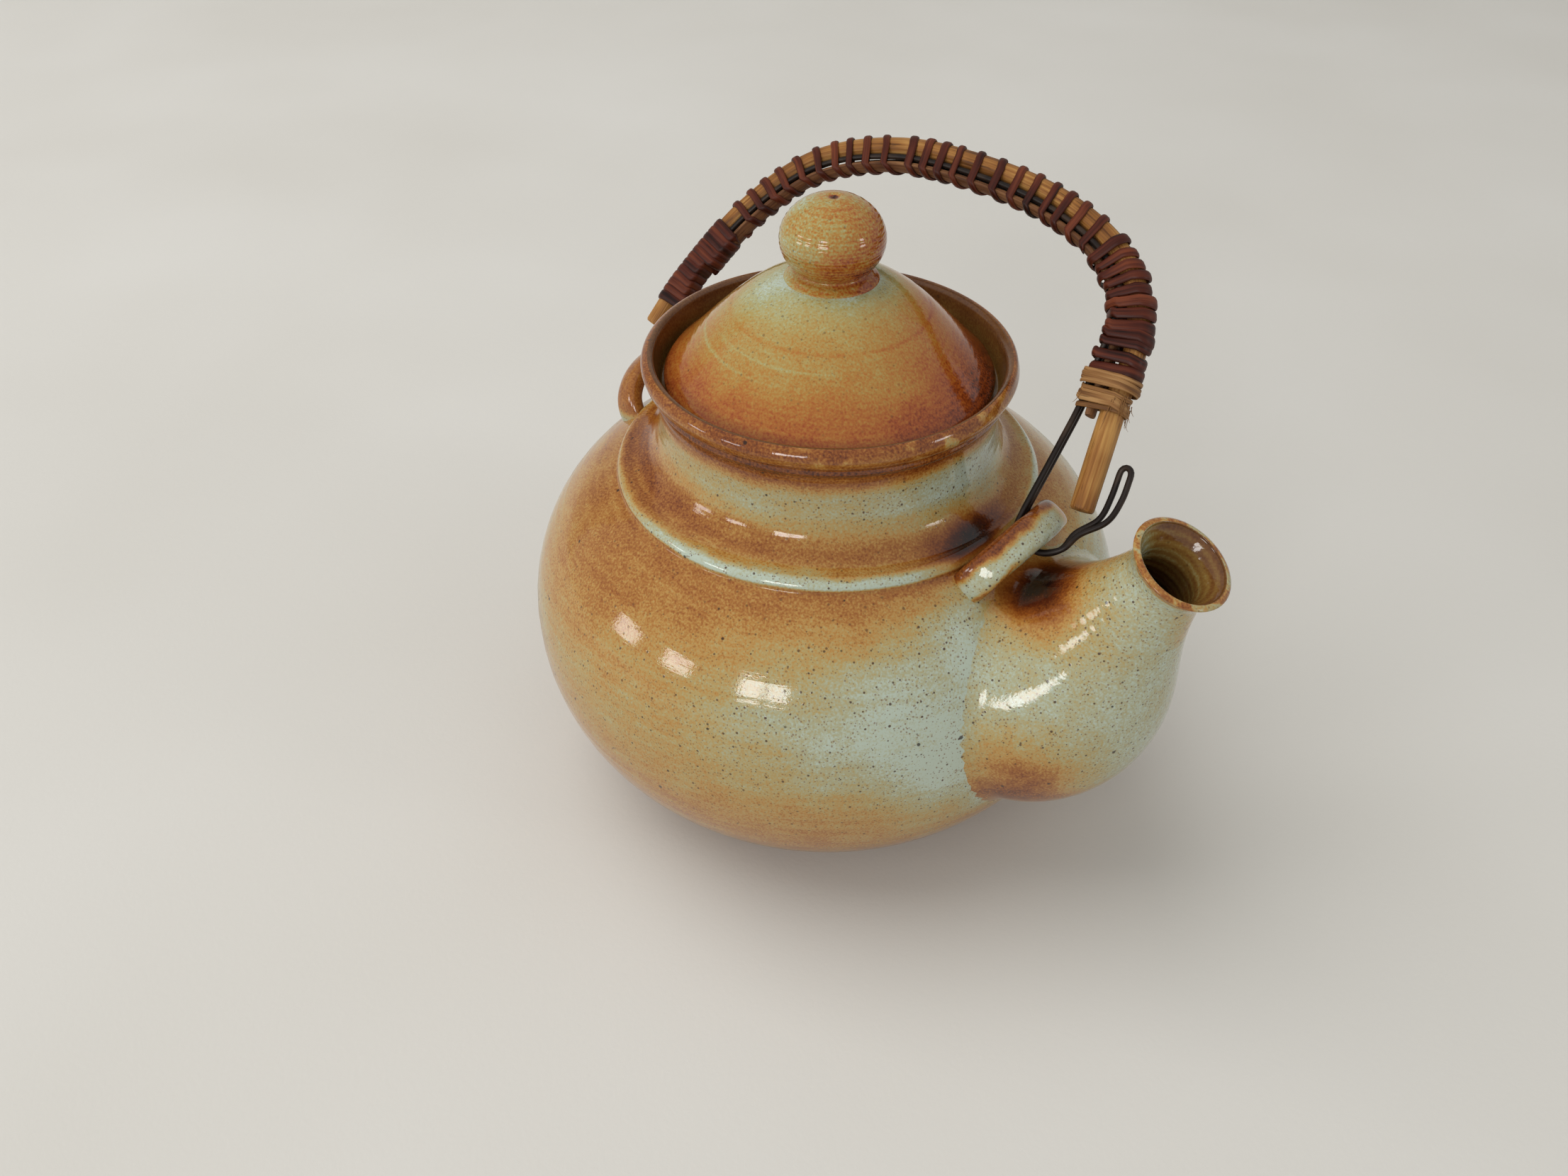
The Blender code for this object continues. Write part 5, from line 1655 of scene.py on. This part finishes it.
@dataclass
class Strays:
    """Loose fibres that leave the binding."""

    bail: Bail
    seed: int = 31

    def build(self, finish: bpy.types.Material) -> None:
        """Sweeps each fibre along a curved line that leaves the binding and thins to its tip.

        The line is start + length t along the cane, with an outward and a side bow that grow as t^1.6.

        Args:
            finish: the fibres' finish.
        """
        rng = np.random.default_rng(self.seed)
        b = self.bail
        t = np.linspace(0.0, 1.0, 24)
        for n in range(14):
            angle = rng.uniform(0.15 * np.pi, 1.1 * np.pi)
            start = b.binding[1] - rng.uniform(0.3, 5.0) * MM
            length = rng.uniform(3.0, 12.0) * MM
            bow = rng.uniform(0.3, 2.6) * MM
            side, out = b.hull(np.array([start]), np.array([angle]), 0.9 * MM)
            curl = bow * t**1.6
            distance = start + length * t * (1 - 0.25 * t)
            path = b.place(distance, out + curl * math.sin(angle), side + curl * math.cos(angle))
            radius = rng.uniform(0.09, 0.17) * MM * (1 - 0.75 * t)
            made = sweep(f"stray_fibre_{n}", path, radius, radius, 6, Ends.FAN, np.array([0.31, 0.87, 0.38]))
            place_piece(made, "handle", [finish])


# ------------------------------------------------------------------------------------------ studio


@dataclass(frozen=True)
class Window:
    """A bright window: an area lamp aimed at the pot."""

    turn: float
    height: float
    width: float
    tall: float
    power: float
    distance: float = 2.4
    reflected: bool = True

    def build(self, n: int) -> None:
        """Hangs the lamp in its direction from the pot's middle.

        Args:
            n: the lamp's number.
        """
        a, e = math.radians(self.turn), math.radians(self.height)
        lamp = bpy.data.lights.new(f"window_{n}", "AREA")
        lamp.shape, lamp.size, lamp.size_y, lamp.energy = "RECTANGLE", self.width, self.tall, self.power
        held = bpy.data.objects.new(f"window_{n}", lamp)
        away = Vector((math.cos(a) * math.cos(e), math.sin(a) * math.cos(e), math.sin(e)))
        held.location = Vector((0.0, 0.0, 0.1)) + away * self.distance
        held.rotation_euler = away.to_track_quat("Z", "Y").to_euler()
        held.visible_glossy = self.reflected
        bpy.context.scene.collection.objects.link(held)


@dataclass
class Studio:
    """The pale floor, soft light and the camera."""

    windows: tuple[Window, ...] = (
        Window(-77.0, 21.0, 0.34, 0.62, 7.0),
        Window(-67.5, 21.0, 0.30, 0.52, 5.0),
        Window(-106.0, 17.0, 0.44, 0.40, 4.5),
        Window(-129.0, 14.0, 0.44, 0.40, 3.5),
        Window(16.0, 18.0, 0.40, 0.40, 3.5),
    )
    camera_turn: float = 130.88
    camera_tilt: float = -40.38

    def floor(self) -> None:
        """A wide paper floor that bends up far behind the pot: z = h (1 - cos a) on its curved part."""
        flat_rows, bend_from, bend_radius = 40, 1.8, 0.8
        a = np.linspace(0, np.pi / 2, 30)[1:]
        rows = np.concatenate([np.linspace(-3.0, bend_from, flat_rows), bend_from + np.sin(a) * bend_radius])
        height = np.concatenate([np.zeros(flat_rows), (1 - np.cos(a)) * bend_radius])
        rows, height = np.append(rows, 2.6), np.append(height, 3.0)
        across = np.linspace(-4.0, 4.0, 30)
        turn = math.radians(self.camera_turn)
        ahead, right = np.array([math.cos(turn), math.sin(turn)]), np.array([math.sin(turn), -math.cos(turn)])
        flat = rows[:, None, None] * ahead + across[None, :, None] * right
        points = np.concatenate([flat, np.broadcast_to(height[:, None, None], (*flat.shape[:2], 1))], axis=-1)
        count = len(across)
        i, j = np.meshgrid(np.arange(len(rows) - 1), np.arange(count - 1), indexing="ij")
        base = i * count + j
        quads = np.stack([base, base + 1, base + count + 1, base + count], axis=-1).reshape(-1, 4)
        mesh = bpy.data.meshes.new("paper_floor")
        mesh.from_pydata(points.reshape(-1, 3).tolist(), [], quads.tolist())
        mesh.shade_smooth()
        paper = bpy.data.objects.new("paper_floor", mesh)
        bpy.context.scene.collection.objects.link(paper)
        s = NodeSheet("pale_paper")
        tone = s.noise(220.0, 2.0) * 0.5 + 0.5
        colour = s.ramp(tone, [(0.3, tint(200, 196, 188)), (0.7, tint(210, 207, 201))])
        weave = s.noise(1.4, 3.0, (1, 1, 1), 0.3)
        paper.data.materials.append(s.surface(colour, tone * 0.1 + 0.75, weave, 0.05))

    def light(self) -> None:
        """The windows, a wide soft lamp overhead and an even world."""
        for n, window in enumerate(self.windows):
            window.build(n)
        soft = Window(-150.0, 62.0, 2.2, 2.2, 42.0, 2.6, False)
        soft.build(len(self.windows))
        world = bpy.data.worlds.new("room")
        world.use_nodes = True
        world.node_tree.nodes["Background"].inputs["Color"].default_value = tint(238, 240, 240)
        world.node_tree.nodes["Background"].inputs["Strength"].default_value = 0.60
        bpy.context.scene.world = world

    def camera(self) -> None:
        """A camera above and to the right of the front, looking down at 40 degrees."""
        lens = bpy.data.cameras.new("camera")
        lens.lens, lens.sensor_width = 28.48, 36.0
        lens.clip_start, lens.clip_end = 0.01, 20.0
        held = bpy.data.objects.new("camera", lens)
        a, e = math.radians(self.camera_turn), math.radians(self.camera_tilt)
        ahead = Vector((math.cos(a) * math.cos(e), math.sin(a) * math.cos(e), math.sin(e)))
        held.location = (0.1917, -0.2410, 0.3200)
        held.rotation_euler = ahead.to_track_quat("-Z", "Y").to_euler()
        bpy.context.scene.collection.objects.link(held)
        bpy.context.scene.camera = held

    def build(self) -> None:
        """Sets the studio up."""
        self.floor()
        self.light()
        self.camera()
        bpy.context.scene.view_settings.view_transform = "Standard"


def clear_start_up() -> None:
    """Removes what Blender's own start-up scene brings."""
    for name in ("Cube", "Light", "Camera"):
        if name in bpy.data.objects:
            bpy.data.objects.remove(bpy.data.objects[name], do_unlink=True)


def main() -> None:
    """Builds every sub-assembly and the studio."""
    logging.basicConfig(level=logging.INFO, format="%(name)s: %(message)s")
    clear_start_up()
    inside = InsideGlaze("inside_glaze", Kiln.OLIVE, 0.16, 0.4, 0.16).dress()
    pot = Pot()
    pot.build(PotGlaze("pot_glaze").dress(), inside)
    Spout(pot).build(SpoutGlaze("spout_glaze").dress(), ThroatGlaze("throat_glaze", Kiln.OLIVE, 0.14, 0.4).dress())
    lug_glaze = LugGlaze("lug_glaze", mottle=0.16).dress()
    Lug("front_lug", 1).build(lug_glaze)
    Lug("rear_lug", -1).build(lug_glaze)
    lid = Lid()
    lid.build_lid(LidGlaze("lid_glaze", Kiln.HONEY, 0.20, 0.45).dress(), inside)
    lid.build_knob(KnobGlaze("knob_glaze", Kiln.HONEY, 0.34, 0.5).dress())
    bail = Bail()
    golden = Fibre("golden_cane", (78, 44, 18), (136, 89, 42), (174, 130, 72), 0.5).dress()
    split = Fibre("split_cane", (60, 34, 20), (104, 68, 42), (136, 98, 64), 0.62).dress()
    dark = Fibre("dark_rattan", (28, 8, 4), (70, 26, 13), (108, 52, 28), 0.46, 0.06, 0.8).dress()
    natural = Fibre("natural_rattan", (84, 52, 26), (132, 92, 52), (168, 130, 84), 0.55, 0.08).dress()
    Cane(
        bail, "bent_outer_cane", "outer_cane", "golden_cane", (0.0, bail.length), 0.0, bail.cane_radius,
        bail.cane_radius,
    ).build(golden)
    inner_span = (bail.rear_wrap[0] + 22.1 * MM, bail.binding[1] + 2.0 * MM)
    Cane(
        bail, "bent_inner_cane", "inner_cane", "split_cane", inner_span, bail.inner_offset, bail.inner_half_width,
        bail.inner_half_thickness, 0.03, 7,
    ).build(split)
    HookWire(bail).build(BlackWire("blackened_wire").dress())
    Winding(
        bail, "rear_wrap_strip", "dark_rattan", ("rear_wrap",), bail.rear_wrap, 12, 3.0 * MM, uneven=0.10, seed=3
    ).build(dark)
    gap = 0.3 * MM
    Winding(
        bail, "open_strip", "dark_rattan", ("handle_winding",), (bail.rear_wrap[1] + gap, bail.front_wrap[0] - gap), 22,
        2.5 * MM, uneven=0.28, seed=5,
    ).build(dark)
    Winding(
        bail, "front_wrap_strip", "dark_rattan", ("front_wrap",), bail.front_wrap, 12, 3.0 * MM, 0.8 * MM,
        loose=1.1 * MM, slant=1.5 * MM, uneven=0.36, seed=9,
    ).build(dark)
    upper = (bail.binding[0] - 2.4 * MM, bail.binding[0] + 2.6 * MM)
    lower = (bail.binding[0] + 2.2 * MM, bail.binding[1] + 0.6 * MM)
    Winding(
        bail, "upper_binding", "natural_rattan", ("end_binding",), upper, 4, 1.25 * MM, 0.5 * MM, lift=1.2 * MM,
        loose=0.5 * MM, slant=0.7 * MM, uneven=0.3, seed=14,
    ).build(natural)
    Winding(
        bail, "lower_binding", "natural_rattan", (), lower, 5, 1.3 * MM, 0.5 * MM, lift=0.1 * MM, loose=0.7 * MM,
        slant=1.3 * MM, uneven=0.3, seed=17,
    ).build(natural)
    Strays(bail).build(natural)
    Studio().build()


if __name__ == "__main__":
    main()
